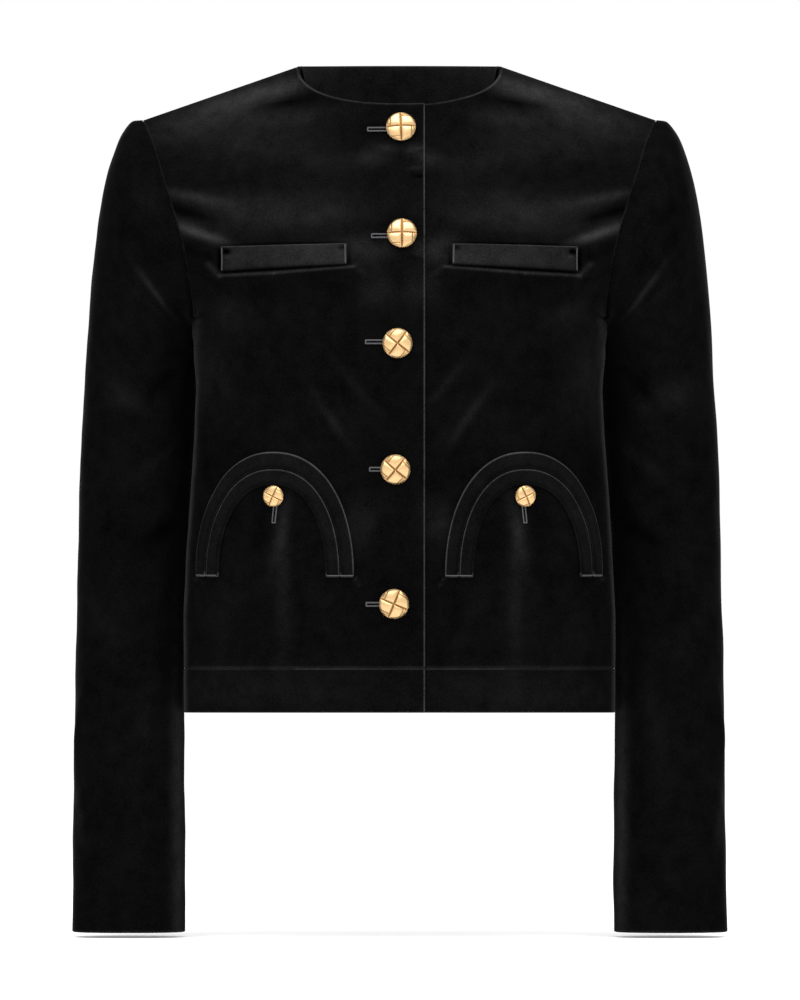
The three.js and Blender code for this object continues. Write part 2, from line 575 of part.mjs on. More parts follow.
// A domed button with two crossing grooves, flat at the back, standing on z = 0.
function buttonHead({ radius, rim, dome, groove }) {
  const shares = [0.3, 0.62, 0.88, 1];
  const sectors = 16;
  const positions = [0, 0, 0, 0, 0, rim + dome - groove];
  const index = [];
  const loops = [...shares, 1];
  loops.forEach((share, j) => {
    for (let k = 0; k < sectors; k++) {
      const angle = (k / sectors) * 2 * Math.PI;
      const inGroove = k % 4 === 0 && share < 1 ? groove : 0;
      const top = rim + dome * Math.sqrt(1 - (share * 0.98) ** 2) - inGroove;
      const z = j < shares.length ? top : 0;
      const r = radius * share * (j < shares.length ? 1 : 0.96);
      positions.push(r * Math.cos(angle), r * Math.sin(angle), z);
    }
  });
  const at = (j, k) => 2 + j * sectors + (k % sectors);
  for (let k = 0; k < sectors; k++) {
    index.push(1, at(0, k), at(0, k + 1));
    for (let j = 0; j < loops.length - 1; j++)
      index.push(at(j, k), at(j + 1, k), at(j + 1, k + 1), at(j, k), at(j + 1, k + 1), at(j, k + 1));
    index.push(0, at(loops.length - 1, k + 1), at(loops.length - 1, k));
  }
  return facingOut(positions, index);
}

// Puts a button on the front at x and z, its back just off the cloth's highest spot under it.
function seatButton(mesh, radius, x, z, turn) {
  const { across, level } = placeAt(FRONT, x, z);
  const normal = bodyNormal(FRONT, across, level);
  const centre = bodyPoint(FRONT, across, level);
  const heights = steps(0, 2 * Math.PI, 12).map((angle) => {
    const spot = placeAt(FRONT, x + radius * Math.cos(angle), z + radius * Math.sin(angle));
    return bodyPoint(FRONT, spot.across, spot.level).sub(centre).dot(normal);
  });
  mesh.position.copy(centre).addScaledVector(normal, Math.max(0, ...heights) + LAYER_GAP);
  mesh.quaternion.setFromUnitVectors(vec(0, 0, 1), normal);
  mesh.rotateZ(THREE.MathUtils.degToRad(turn));
}

// The strip inside the back neck, which shows above the front neckline.
function backNeckFacing() {
  const columns = backColumns().filter((across) => Math.abs(across) < NECK_SHARE * FACING.reach);
  const layer = (depth) =>
    panelLevels.slice(-FACING.rows).map((level) =>
      columns.map((across) =>
        plainPoint(BACK, across, level).addScaledVector(bodyNormal(BACK, across, level), -depth),
      ),
    );
  const start = CLOTH + TRIM_GAP;
  return wall(layer(start), layer(start + FACING.thickness));
}

const armhole = armholeSeam();
const velvet = new THREE.MeshStandardMaterial({ color: 0x0b0b0c, roughness: 0.95, metalness: 0 });
const gold = new THREE.MeshStandardMaterial({ color: 0xd8ab62, roughness: 0.32, metalness: 1 });
const jacket = new THREE.Group();

function add(name, geometry, material = velvet) {
  const mesh = new THREE.Mesh(geometry, material);
  mesh.name = name;
  jacket.add(mesh);
  return mesh;
}

add("front_right", bodyPiece(FRONT, panelLevels, frontColumns, undefined, true));
add("front_left", bodyPiece(FRONT, panelLevels, frontColumns, underlapDepth));
add("back", bodyPiece(BACK, panelLevels, backColumns));
add("hem_band_right", bodyPiece(FRONT, bandLevels, frontColumns, undefined, true));
add("hem_band_left", bodyPiece(FRONT, bandLevels, frontColumns, underlapDepth));
add("hem_band_back", bodyPiece(BACK, bandLevels, backColumns));
add("back_neck_facing", backNeckFacing());

for (const [name, side] of [["right", -1], ["left", 1]]) {
  add("sleeve_" + name, sleeve(side));
  add("chest_welt_" + name, chestWelt(side));
  add("pocket_outer_band_" + name, pocketBand(0, side));
  add("pocket_inner_band_" + name, pocketBand(1, side));
  const button = add("pocket_button_" + name, buttonHead(POCKET_BUTTON), gold);
  seatButton(button, POCKET_BUTTON.radius, side * POCKET_BUTTON_X, POCKET_BUTTON_Z, side * POCKET_BUTTON_TURN);
}

FRONT_BUTTONS.forEach(({ x, z, turn }, i) => {
  const button = add("front_button_" + (i + 1), buttonHead(BUTTON), gold);
  seatButton(button, BUTTON.radius, x, z, turn);
});

export default jacket;
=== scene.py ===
import math

import bpy
import numpy as np
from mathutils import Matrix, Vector


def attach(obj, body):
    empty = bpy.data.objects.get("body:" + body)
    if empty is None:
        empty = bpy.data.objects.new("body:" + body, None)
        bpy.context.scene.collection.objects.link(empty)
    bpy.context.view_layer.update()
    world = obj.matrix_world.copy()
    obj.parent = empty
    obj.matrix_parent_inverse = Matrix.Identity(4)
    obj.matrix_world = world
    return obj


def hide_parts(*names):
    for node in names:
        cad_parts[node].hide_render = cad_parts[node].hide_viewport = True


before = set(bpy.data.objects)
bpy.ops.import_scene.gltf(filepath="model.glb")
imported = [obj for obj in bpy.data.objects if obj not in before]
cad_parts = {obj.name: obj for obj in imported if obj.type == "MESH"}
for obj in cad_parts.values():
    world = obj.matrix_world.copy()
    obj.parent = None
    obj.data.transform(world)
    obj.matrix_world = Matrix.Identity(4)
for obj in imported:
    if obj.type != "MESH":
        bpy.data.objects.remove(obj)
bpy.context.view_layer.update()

# The jacket is worked out in millimetres, as it is cut, and each mesh is made in metres. +Z is up, the
# front faces -Y, the wearer's right side is at -X, and the origin is midway between the neck points.


# The two fronts
# Each front is one piece of black cotton velvet with a fused back and a lining, about 2 mm thick in all.
# It is sewn to the back at shoulder and side, to the sleeve round the armhole and to the hem band below,
# and the wearer's right front laps over the left one, whose edge steps in below it.
MM = 0.001
VELVET_THICKNESS = 2.2
LINING_GAP = 0.08  # left between two sewn edges, whose rounded rims touch
UNDERLAP_STEP = 3.0
FRONT_OVERLAP = 19.5  # how far each front runs past the centre line
UNDERLAP_END = 54.0  # where the underneath front is back at the surface
NECK_HALF_WIDTH = 79.0
SHOULDER_SEAM_Y = 4.0
SHOULDER_X = 197.0
SHOULDER_DROP = 41.0
NECK_SHARE = 0.3
TOP_FADE = 3
CORNER_FADE = 12
CORNER_SPREAD = 0.3
BAND_LEVEL = -1 + 35 / 300  # where the hem band ends
EVEN_COLUMNS = 1.25  # spreads the columns evenly in width near the centre
PAST_COLUMNS = 12  # of a front's grid, past the centre line
OUT_COLUMNS = 92  # from the centre line to the side
NECK_COLUMNS = 44  # those from the front edge on that end at the neckline
PAINTED_SIDE_SHEEN = 0.9  # painted sheen along the side seam, where the body turns away

# Sections of the front from the hem (-1) past the underarm (0) to the neckline and shoulder seam (1).
# The centre is a point of the front line, the edge a point of the side seam or the armhole.
LEVEL, CENTRE_Y, CENTRE_Z, EDGE_X, EDGE_Y, EDGE_Z, SWEEP = range(7)
FRONT_SECTIONS = np.array([
    (-1.00, -85.0, -494.0, 165.0, 0.0, -495.0, 90.0),
    (-0.88, -85.0, -459.0, 165.2, 0.0, -460.0, 90.0),
    (-0.77, -86.0, -425.0, 165.4, 0.0, -426.0, 90.0),
    (-0.63, -88.0, -384.0, 163.5, 0.0, -384.0, 90.0),
    (-0.46, -92.0, -333.0, 160.5, 0.0, -333.0, 90.0),
    (-0.25, -99.0, -270.0, 156.4, 0.0, -270.0, 90.0),
    (-0.08, -104.0, -219.0, 154.9, 0.0, -219.0, 90.0),
    (0.00, -104.0, -193.0, 155.5, 0.0, -195.0, 90.0),
    (0.10, -103.0, -176.0, 157.3, -25.0, -191.0, 76.0),
    (0.22, -99.5, -156.0, 159.8, -43.0, -173.0, 60.0),
    (0.36, -94.0, -132.0, 163.8, -50.0, -147.0, 48.0),
    (0.50, -87.0, -108.0, 169.8, -51.0, -122.0, 42.0),
    (0.64, -79.5, -85.0, 177.3, -47.0, -98.0, 40.0),
    (0.78, -72.0, -63.0, 184.4, -38.0, -75.0, 40.0),
    (0.90, -66.0, -45.0, 190.4, -22.0, -56.0, 40.0),
    (1.00, -61.0, -29.5, 197.0, 4.0, -41.0, 40.0),
])

# Soft folds of a front as seen from the front: from x, z to x, z, then width and height. Those below
# are the drag lines from the armhole, the pull towards the buttons and the fullness over the pocket.
FRONT_FOLDS = (
    (180, -97, 118, -118, 9, 2.6),
    (178, -113, 132, -125, 8, -3.0),
    (172, -125, 130, -138, 7, 2.4),
    (62, -252, 22, -312, 8, 1.3),
    (96, -330, 98, -440, 13, 1.4),
)

# Creases that are finer than the solid parts hold, in the same columns.
FRONT_CREASES = (
    (184, -96, 136, -107, 3.4, 1.1),
    (180, -108, 138, -119, 3.6, -1.1),
    (170, -123, 132, -136, 3.4, 1.4),
    (166, -138, 146, -148, 4.0, -0.6),
    (166, -160, 144, -172, 4.0, 0.6),
    (138.5, -160.8, 34.0, -154.4, 1.2, 0.9),
    (146, -143, 142, -158, 2.6, -0.6),
    (34, -152, 24, -148, 3.0, 0.5),
    (92, -336, 90, -392, 5.0, 0.9),
    (104, -338, 110, -386, 6.0, -0.4),
    (22, -84, 6, -88, 2.4, -0.35),
    (22, -128, 6, -137, 2.6, 0.4),
    (24, -148, 4, -154, 3.2, -0.35),
    (58, -262, 38, -300, 4.0, -0.35),
    (46, -258, 30, -290, 4.5, 0.45),
    (30, -330, 44, -372, 5.0, 0.4),
    (148, -220, 120, -262, 9.0, 0.5),
    (148, -300, 132, -352, 8.0, -0.4),
    (60, -402, 48, -446, 6.0, 0.4),
    (130, -404, 140, -452, 8.0, 0.5),
    (154.6, -188, 154.0, -238, 3.4, 2.6),
    (155.2, -191, 155.0, -210, 3.0, 1.7),
)

# Painted highlights and shade of a front, on the shoulders, chest and lower front, as seen from the
# front: x, z, half width, half height, turn in degrees (rising towards the side) and strength.
FRONT_PAINTED_LIGHT = (
    (92, -17, 42, 6, -15, 0.75),
    (134, -33, 52, 13, -19, 0.60),
    (80, -40, 34, 7, -8, 0.26),
    (94, -29, 24, 4.0, -10, -0.28),
    (110, -58, 44, 14, -6, 0.20),
    (60, -74, 30, 12, 8, 0.14),
    (102, -112, 60, 14, -4, 0.34),
    (60, -118, 34, 8, -8, 0.14),
    (154, -102, 27, 4.0, 11, 0.40),
    (157, -115, 22, 4.5, 13, -0.12),
    (150, -130, 19, 3.6, 18, 1.00),
    (168, -123, 8, 5, 0, 0.30),
    (28, -141, 20, 9, 8, 0.50),
    (16, -172, 15, 14, -40, 0.22),
    (44, -172, 26, 9, 24, -0.05),
    (104, -172, 34, 10, -6, -0.04),
    (130, -190, 20, 12, 30, 0.16),
    (22, -72, 12, 6, 0, 0.34),
    (8, -64, 10, 3, 10, 0.30),
    (90, -356, 4.5, 26, 12, 0.32),
    (88, -405, 6, 52, 0, 0.20),
    (52, -270, 3.5, 24, -34, 0.30),
    (34, -245, 3.5, 24, -40, 0.16),
    (150, -240, 18, 34, 0, 0.14),
    (120, -300, 26, 16, 20, -0.04),
    (30, -352, 12, 18, 30, 0.22),
    (96, -478, 80, 16, 0, 0.12),
)

# Thin lines of painted shade round the chest welt and of painted highlight along and past its foot: from x,
# z to x, z, then width and strength.
WELT_LINES = (
    (41.0, -136.0, 134.0, -138.0, 0.9, -0.12),
    (41.0, -154.6, 134.0, -159.2, 0.8, -0.20),
    (38.4, -138.0, 38.0, -152.5, 1.1, -0.20),
    (137.0, -141.0, 137.6, -157.0, 1.4, -0.16),
    (137.5, -161.2, 96.0, -159.4, 1.0, 0.85),
    (96.0, -159.4, 34.0, -154.6, 0.9, 0.85),
    (137.5, -161.0, 145.5, -152.5, 2.2, 0.45),
    (33.0, -154.0, 27.0, -160.0, 2.5, 0.25),
)

# Short thin lines of painted highlight and shade beside the front edge and at the foot of the pocket.
SHORT_PAINTED_LINES = (
    (-7.0, -66.0, -18.0, -64.0, 1.0, 0.30),
    (-8.0, -72.5, -17.0, -74.0, 1.0, -0.13),
    (-6.5, -80.0, -16.0, -78.5, 0.9, 0.25),
    (-9.0, -84.5, -17.5, -86.0, 1.2, -0.13),
    (-8.0, -147.5, -18.0, -149.0, 1.6, -0.15),
    (34.5, -391.5, 30.0, -397.5, 0.8, 0.45),
    (156.0, -392.0, 150.0, -394.0, 0.9, 0.25),
)


def smooth(low, high, value):
    """From 0 at low to 1 at high, with soft ends."""
    t = np.clip((value - low) / (high - low), 0, 1)
    return t * t * (3 - 2 * t)


def read_table(table, column, at):
    """A column of a table at any values of its first column, on a curve that never overshoots it."""
    keys, values = table[:, 0], table[:, column]
    at = np.clip(at, keys[0], keys[-1])
    i = np.clip(np.searchsorted(keys, at, side="right") - 1, 0, len(keys) - 2)
    rise = np.diff(values) / np.diff(keys)
    product, total = rise[:-1] * rise[1:], rise[:-1] + rise[1:]
    middle = np.where(product > 0, 2 * product / np.where(total == 0, 1, total), 0)
    slope = np.concatenate([rise[:1], middle, rise[-1:]])
    step = keys[i + 1] - keys[i]
    t = (at - keys[i]) / step
    leave = t * (1 - t) ** 2 * step * slope[i]
    arrive = t * t * (t - 1) * step * slope[i + 1]
    return values[i] + (values[i + 1] - values[i]) * t * t * (3 - 2 * t) + leave + arrive


def fold_height(folds, u, v):
    """Height of a set of soft ridges and troughs at u, v of a flat picture of the piece."""
    height = np.zeros(np.broadcast(u, v).shape)
    for from_u, from_v, to_u, to_v, width, rise in folds:
        du, dv = to_u - from_u, to_v - from_v
        length = math.hypot(du, dv)
        along = ((u - from_u) * du + (v - from_v) * dv) / length ** 2
        off = ((u - from_u) * dv - (v - from_v) * du) / length
        fade = smooth(-0.25, 0.2, along) * (1 - smooth(0.6, 1.25, along))
        height += rise * fade * np.exp(-((off / width) ** 2))
    return height


def cloth_waves(u, v, seed, height):
    """The slight unevenness of cloth that has been worn, as a few long waves that cross."""
    random = np.random.default_rng(seed)
    total = np.zeros(np.broadcast(u, v).shape)
    lengths = (95, 70, 52, 38, 29, 23)
    for length in lengths:
        heading, start = random.uniform(0, 2 * np.pi, 2)
        along = u * np.cos(heading) + v * np.sin(heading)
        total += length * np.sin(2 * np.pi * along / length + start)
    return height * total / sum(lengths)


def painted_light_patches(patches, u, v):
    """How much paler or darker a piece is painted at u, v of a flat picture of it, as painted highlights
    and shade.
    """
    painted_light = np.zeros(np.broadcast(u, v).shape)
    for centre_u, centre_v, half_u, half_v, turn, strength in patches:
        cos, sin = math.cos(math.radians(turn)), math.sin(math.radians(turn))
        # A turn is positive where the patch rises towards the side.
        along = ((u - centre_u) * cos + (v - centre_v) * sin) / half_u
        up = ((v - centre_v) * cos - (u - centre_u) * sin) / half_v
        painted_light += strength * np.exp(-(along ** 2 + up ** 2))
    return painted_light


def painted_light_lines(lines, u, v):
    """The same along thin straight lines with round ends."""
    painted_light = np.zeros(np.broadcast(u, v).shape)
    for from_u, from_v, to_u, to_v, width, strength in lines:
        du, dv = to_u - from_u, to_v - from_v
        along = np.clip(((u - from_u) * du + (v - from_v) * dv) / (du * du + dv * dv), 0, 1)
        off = np.hypot(u - from_u - along * du, v - from_v - along * dv)
        painted_light += strength * np.exp(-((off / width) ** 2))
    return painted_light


FRONT = {
    "sections": FRONT_SECTIONS, "neck_y": -61.0, "neck_z": -29.5, "neck_power": 2.3,
    "power": 2.5, "folds": FRONT_FOLDS, "creases": FRONT_CREASES, "facing": 1,
}


def section_point(half, across, level):
    """A point of a half's plain section. across is 0 at the centre and 1 at the side or armhole."""
    read = lambda column: read_table(half["sections"], column, level)
    sweep = np.radians(read(SWEEP))
    angle = np.minimum(np.abs(across), 1) * sweep
    power = 2 / half["power"]
    side = (np.sin(angle) / np.sin(sweep)) ** power
    depth = 1 - np.maximum(np.cos(angle), 0) ** power
    depth = depth / (1 - np.maximum(np.cos(sweep), 0) ** power)
    centre_y, centre_z = read(CENTRE_Y), read(CENTRE_Z)
    return np.stack([
        np.sign(across) * read(EDGE_X) * side,
        centre_y + (read(EDGE_Y) - centre_y) * depth,
        centre_z + (read(EDGE_Z) - centre_z) * across ** 2,
    ], axis=-1)


def top_edge_point(half, across):
    """A point of the top edge: the neckline up to the side neck point, then the shoulder seam."""
    share = np.abs(across) / NECK_SHARE
    out = (np.abs(across) - NECK_SHARE) / (1 - NECK_SHARE)
    angle = np.minimum(share, 1) * np.pi / 2
    down = np.maximum(np.cos(angle), 0) ** (2 / half["neck_power"])
    neck_x = NECK_HALF_WIDTH * np.sin(angle) ** (2 / half["neck_power"])
    seam_x = NECK_HALF_WIDTH + (SHOULDER_X - NECK_HALF_WIDTH) * out
    on_neck = share <= 1
    return np.stack([
        np.sign(across) * np.where(on_neck, neck_x, seam_x),
        np.where(on_neck, SHOULDER_SEAM_Y + (half["neck_y"] - SHOULDER_SEAM_Y) * down, SHOULDER_SEAM_Y),
        np.where(on_neck, half["neck_z"] * down, -SHOULDER_DROP * out),
    ], axis=-1)


def plain_point(half, across, level):
    """A point of the body's outside before any fold, drawn to the neckline and shoulder at the top."""
    across, level = np.broadcast_arrays(np.asarray(across, float), np.asarray(level, float))
    shift = lambda a: top_edge_point(half, a) - section_point(half, a, 1.0)
    spread = np.minimum(CORNER_SPREAD, np.minimum(1 - np.abs(across), np.abs(across)))
    steps = np.linspace(-1, 1, 11)
    weights = 1.05 - steps ** 2
    around = shift(across[..., None] + steps * spread[..., None])
    soft = np.sum(around * weights[:, None], axis=-2) / weights.sum()
    up = np.maximum(level, 0)[..., None]
    change = soft * up ** TOP_FADE + (shift(across) - soft) * up ** CORNER_FADE
    return section_point(half, across, level) + change


def body_normal(half, across, level):
    """The way out of the body at a point of one half."""
    step = 0.004
    at = lambda a, l: plain_point(half, np.clip(a, -1, 1), np.clip(l, -1, 1))
    along = at(across + step, level) - at(across - step, level)
    up = at(across, level + step) - at(across, level - step)
    normal = np.cross(along, up) * half["facing"]
    return normal / np.linalg.norm(normal, axis=-1, keepdims=True)


def body_point(half, across, level, side):
    """A point of the finished outside of a half, at its +X side, with the creases of the named side."""
    point = plain_point(half, across, level)
    x, z, edge = np.abs(point[..., 0]), point[..., 2], np.abs(across)
    height = fold_height(half["folds"], x, z)
    height = height * (1 - smooth(0.92, 1, edge)) * (1 - smooth(0.85, 1, level))
    seams = (1 - smooth(0.985, 1, edge)) * (1 - smooth(0.96, 1, level))
    fine = fold_height(half["creases"], x, z)
    waves = cloth_waves(point[..., 0], z, 7 + 3 * half["facing"] + side, 0.55)
    fine = fine + waves * smooth(-1, -0.85, level)
    return point + body_normal(half, across, level) * (height + fine * seams)[..., None]


def unit(vectors):
    """The same directions with a length of 1."""
    return vectors / np.maximum(np.linalg.norm(vectors, axis=-1, keepdims=True), 1e-9)


def cloth_shell(name, outer, painted_light=0.0, rim=0.5, under=0.0, thickness=VELVET_THICKNESS,
                ring=False, inside=(0.0, 0.0)):
    """A closed shell of cloth under a grid of outside points, with rounded edges all the way round.

    A ring joins its last column to its first. inside is an upright axis that the outside faces away from.
    The paleness at each point is painted highlight and shade, rim says how much painted highlight runs
    along the edges, and under how much the inside is painted paler, as painted light in its shade.
    """
    rows, columns = outer.shape[:2]
    radius = thickness / 2
    padded = np.concatenate([outer[:, -1:], outer, outer[:, :1]], axis=1) if ring else outer
    across = np.gradient(padded, axis=1)
    across = across[:, 1:-1] if ring else across
    up = np.gradient(outer, axis=0)
    normal = unit(np.cross(across, up))
    away = outer[..., :2] - np.asarray(inside)
    if np.sum(normal[..., :2] * away) < 0:
        normal = -normal
    number = np.arange(rows * columns).reshape(rows, columns)
    if ring:
        loops = [number[0], number[-1][::-1]]
    else:
        loops = [np.concatenate([number[0, :-1], number[:-1, -1], number[-1, :0:-1], number[:0:-1, 0]])]
    points, normals = outer.reshape(-1, 3).copy(), normal.reshape(-1, 3)
    out = np.zeros_like(points)
    sides = [(number[0], -up[0]), (number[-1], up[-1])]
    if not ring:
        sides += [(number[:, 0], -across[:, 0]), (number[:, -1], across[:, -1])]
    for edge, outward in sides:
        line = points[edge]
        run = np.roll(line, -1, 0) - np.roll(line, 1, 0) if ring else np.gradient(line, axis=0)
        square = unit(np.cross(run, normals[edge]))
        out[edge] += square * np.sign(np.sum(square * outward, axis=-1, keepdims=True))
    points -= out * (radius + LINING_GAP / 2)
    out = unit(out)
    vertices = [points, points - 2 * radius * normals]
    count = len(points)
    pale = np.broadcast_to(painted_light, outer.shape[:2]).reshape(-1).astype(float)
    rim = np.broadcast_to(rim, outer.shape[:2]).reshape(-1)
    # Painted highlight: the edge points of the outside are painted paler by the rim.
    pale = pale + 0.4 * rim * (np.linalg.norm(out, axis=-1) > 0.5)
    paleness = [pale, np.full(count, under)]
    span = np.arange(columns if ring else columns - 1)
    after = (span + 1) % columns
    lower, upper = number[:-1], number[1:]
    quads = np.stack([lower[:, span], lower[:, after], upper[:, after], upper[:, span]], -1)
    quads = quads.reshape(-1, 4)
    faces = [quads, quads[:, ::-1] + count]
    start = 2 * count
    for loop in loops:
        rims = [loop]
        # The rounded edges are painted paler by the rim, as painted highlight that fades towards the
        # inside.
        for turn, share in ((30, 1.0), (60, 1.0), (90, 1.0), (120, 0.6), (150, 0.0)):
            bend = math.radians(turn)
            paleness.append(rim[loop] * share + 0.5 * pale[loop])
            middle = points[loop] - radius * normals[loop]
            lean = normals[loop] * math.cos(bend) + out[loop] * math.sin(bend)
            vertices.append(middle + radius * lean)
            rims.append(np.arange(len(loop)) + start)
            start += len(loop)
        rims.append(loop + count)
        for near, far in zip(rims[:-1], rims[1:]):
            faces.append(np.stack([np.roll(near, -1), near, far, np.roll(far, -1)], -1))
    piece = make_piece(name, np.concatenate(vertices), np.concatenate(faces))
    shade = piece.data.attributes.new("painted_light", "FLOAT", "POINT")
    shade.data.foreach_set("value", np.concatenate(paleness))
    return piece


def make_piece(name, points, faces):
    """An object from points in millimetres and faces, all turned so that they face out."""
    corners = points[np.array([face[:3] for face in faces])]
    if np.sum(corners[:, 0] * np.cross(corners[:, 1], corners[:, 2])) < 0:
        faces = [face[::-1] for face in faces]
    mesh = bpy.data.meshes.new(name)
    mesh.from_pydata(points * MM, [], faces)
    mesh.shade_smooth()
    piece = bpy.data.objects.new(name, mesh)
    bpy.context.scene.collection.objects.link(piece)
    return piece


def black_velvet():
    """Short black pile: near black face on, with a faint sheen where it turns away, painted highlights and
    shade, and patchy where it is pressed.
    """
    pile_colour, painted_light_colour = 0.0024, 0.0140
    pressed_patch, small_patch, tuft = 0.060, 0.012, 0.0014  # sizes across, in metres
    material = bpy.data.materials.new("black_velvet")
    material.use_nodes = True
    nodes, links = material.node_tree.nodes, material.node_tree.links
    shader = nodes["Principled BSDF"]
    shader.inputs["Specular IOR Level"].default_value = 0.0
    shader.inputs["Roughness"].default_value = 0.9
    shader.inputs["Sheen Weight"].default_value = 0.03
    shader.inputs["Sheen Roughness"].default_value = 0.25
    place = nodes.new("ShaderNodeTexCoord")

    def patches(size, detail):
        noise = nodes.new("ShaderNodeTexNoise")
        noise.inputs["Scale"].default_value = 1 / size
        noise.inputs["Detail"].default_value = detail
        links.new(place.outputs["Object"], noise.inputs["Vector"])
        return noise.outputs["Fac"]

    def combine(kind, first, second):
        step = nodes.new("ShaderNodeMath")
        step.operation = kind
        for socket, value in zip(step.inputs, (first, second)):
            if isinstance(value, float):
                socket.default_value = value
            else:
                links.new(value, socket)
        return step.outputs["Value"]

    large, small, fine = patches(pressed_patch, 3.0), patches(small_patch, 4.0), patches(tuft, 2.0)
    mottle = combine("ADD", combine("MULTIPLY", large, 0.8), combine("MULTIPLY", small, 1.1))
    mottle = combine("ADD", mottle, combine("MULTIPLY", fine, 1.3))
    mottle = combine("SUBTRACT", mottle, 0.6)
    # Painted highlights and shade: a per-point attribute of the pieces lightens the colour towards the
    # paler painted colour above.
    brushed_grain_and_painted_light = nodes.new("ShaderNodeAttribute")
    brushed_grain_and_painted_light.attribute_name = "painted_light"
    pale = combine("MULTIPLY", brushed_grain_and_painted_light.outputs["Fac"], painted_light_colour)
    shade = combine("MULTIPLY", combine("ADD", pale, pile_colour), mottle)
    shade = combine("MAXIMUM", shade, 0.0004)
    tint = nodes.new("ShaderNodeCombineColor")
    for channel in ("Red", "Green", "Blue"):
        links.new(shade, tint.inputs[channel])
    links.new(tint.outputs["Color"], shader.inputs["Base Color"])
    lean = nodes.new("ShaderNodeBump")
    lean.inputs["Strength"].default_value = 0.3
    lean.inputs["Distance"].default_value = 0.0012
    links.new(small, lean.inputs["Height"])
    pile = nodes.new("ShaderNodeBump")
    pile.inputs["Strength"].default_value = 0.5
    pile.inputs["Distance"].default_value = 0.0005
    links.new(fine, pile.inputs["Height"])
    links.new(lean.outputs["Normal"], pile.inputs["Normal"])
    links.new(pile.outputs["Normal"], shader.inputs["Normal"])
    return material


velvet = black_velvet()


def sew_in(piece, node):
    """Puts a velvet piece in the place of its solid, with the velvet material."""
    piece.data.materials.append(velvet)
    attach(piece, "root")
    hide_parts(node)
    return piece


def column_past_centre(level):
    """The share across at which a front reaches its own edge, past the centre line."""
    low, high = np.zeros_like(level), np.ones_like(level)
    for _ in range(30):
        middle = (low + high) / 2
        short = plain_point(FRONT, middle, level)[..., 0] < FRONT_OVERLAP
        low, high = np.where(short, middle, low), np.where(short, high, middle)
    return (low + high) / 2


def front_grid(levels, side):
    """Outside points and nap of one front, from its edge past the centre out to the side seam."""
    edge = column_past_centre(levels)[:, None]
    past = -edge * np.linspace(1, 0, PAST_COLUMNS, endpoint=False) ** EVEN_COLUMNS
    out = np.linspace(0, 1, OUT_COLUMNS) ** EVEN_COLUMNS
    out = np.broadcast_to(out, (len(levels), OUT_COLUMNS))
    across = np.concatenate([past, out], axis=1)
    level = np.broadcast_to(levels[:, None], across.shape)
    points = body_point(FRONT, across, level, side)
    if side > 0:
        step = UNDERLAP_STEP * (1 - smooth(FRONT_OVERLAP + 4, UNDERLAP_END, points[..., 0]))
        points = points - body_normal(FRONT, across, level) * step[..., None]
    x, z = np.abs(points[..., 0]), points[..., 2]
    # Painted highlights and shade of the front, with painted lines round the welt and beside the edge.
    painted_light = painted_light_patches(FRONT_PAINTED_LIGHT, x, z) + painted_light_lines(WELT_LINES, x, z)
    painted_light = painted_light + painted_light_lines(SHORT_PAINTED_LINES, points[..., 0] if side < 0 else x, z)
    # Painted highlight on the crests of the creases and painted shade in their troughs.
    painted_light = painted_light + 0.10 * fold_height(FRONT_CREASES, x, z)
    # Painted sheen near the side seam, where the body turns away.
    painted_light = painted_light + PAINTED_SIDE_SHEEN * smooth(0.84, 0.93, across) * (1 - smooth(-0.10, 0.05, level))
    return points * (side, 1, 1), painted_light


def front_edge_highlight(levels, side):
    """How much painted highlight runs along the edges: most on the right front's turned edge and the
    neckline, less over a seam.
    """
    rim = np.full((len(levels), PAST_COLUMNS + OUT_COLUMNS), 0.40)
    rim[:, :PAST_COLUMNS + 1] = 0.55
    rim[:, 0] = 1.7 if side < 0 else 0.3
    rim[-1, :NECK_COLUMNS] = 0.8
    return rim


# Rows lie closer together where the chest welt is set in.
FRONT_LEVELS = np.concatenate([
    np.linspace(BAND_LEVEL, 0, 110, endpoint=False),
    np.linspace(0, 0.12, 10, endpoint=False),
    np.linspace(0.12, 0.42, 60, endpoint=False),
    np.linspace(0.42, 1, 44),
])
SIDES = (("right", -1), ("left", 1))

for name, side in SIDES:
    rim = front_edge_highlight(FRONT_LEVELS, side)
    cloth = cloth_shell("velvet_front_" + name, *front_grid(FRONT_LEVELS, side), rim=rim)
    sew_in(cloth, "front_" + name)


# The back
# One piece of the same velvet from the neck to the hem band, shaped over the shoulder blades, without a
# centre seam. It meets the fronts at the shoulder and side seams.
BACK_SECTIONS = np.array([
    (-1.00, 100.0, -495.0, 165.0, 0.0, -495.0, 90.0),
    (-0.88, 98.0, -460.0, 165.2, 0.0, -460.0, 90.0),
    (-0.77, 95.0, -426.0, 165.4, 0.0, -426.0, 90.0),
    (-0.63, 91.0, -384.0, 163.5, 0.0, -384.0, 90.0),
    (-0.46, 89.0, -333.0, 160.5, 0.0, -333.0, 90.0),
    (-0.25, 94.0, -270.0, 156.4, 0.0, -270.0, 90.0),
    (-0.08, 102.0, -219.0, 154.9, 0.0, -219.0, 90.0),
    (0.00, 106.0, -193.0, 155.5, 0.0, -195.0, 90.0),
    (0.10, 109.0, -175.0, 157.8, 25.0, -191.0, 78.0),
    (0.22, 111.0, -152.0, 161.8, 43.0, -173.0, 64.0),
    (0.36, 110.0, -126.0, 166.6, 53.0, -147.0, 54.0),
    (0.50, 106.0, -99.0, 171.8, 56.0, -122.0, 48.0),
    (0.64, 99.0, -73.0, 178.0, 53.0, -98.0, 44.0),
    (0.78, 88.0, -46.0, 184.6, 44.0, -75.0, 42.0),
    (0.90, 76.0, -22.0, 190.5, 28.0, -56.0, 40.0),
    (1.00, 60.0, 2.5, 197.0, 4.0, -41.0, 40.0),
])
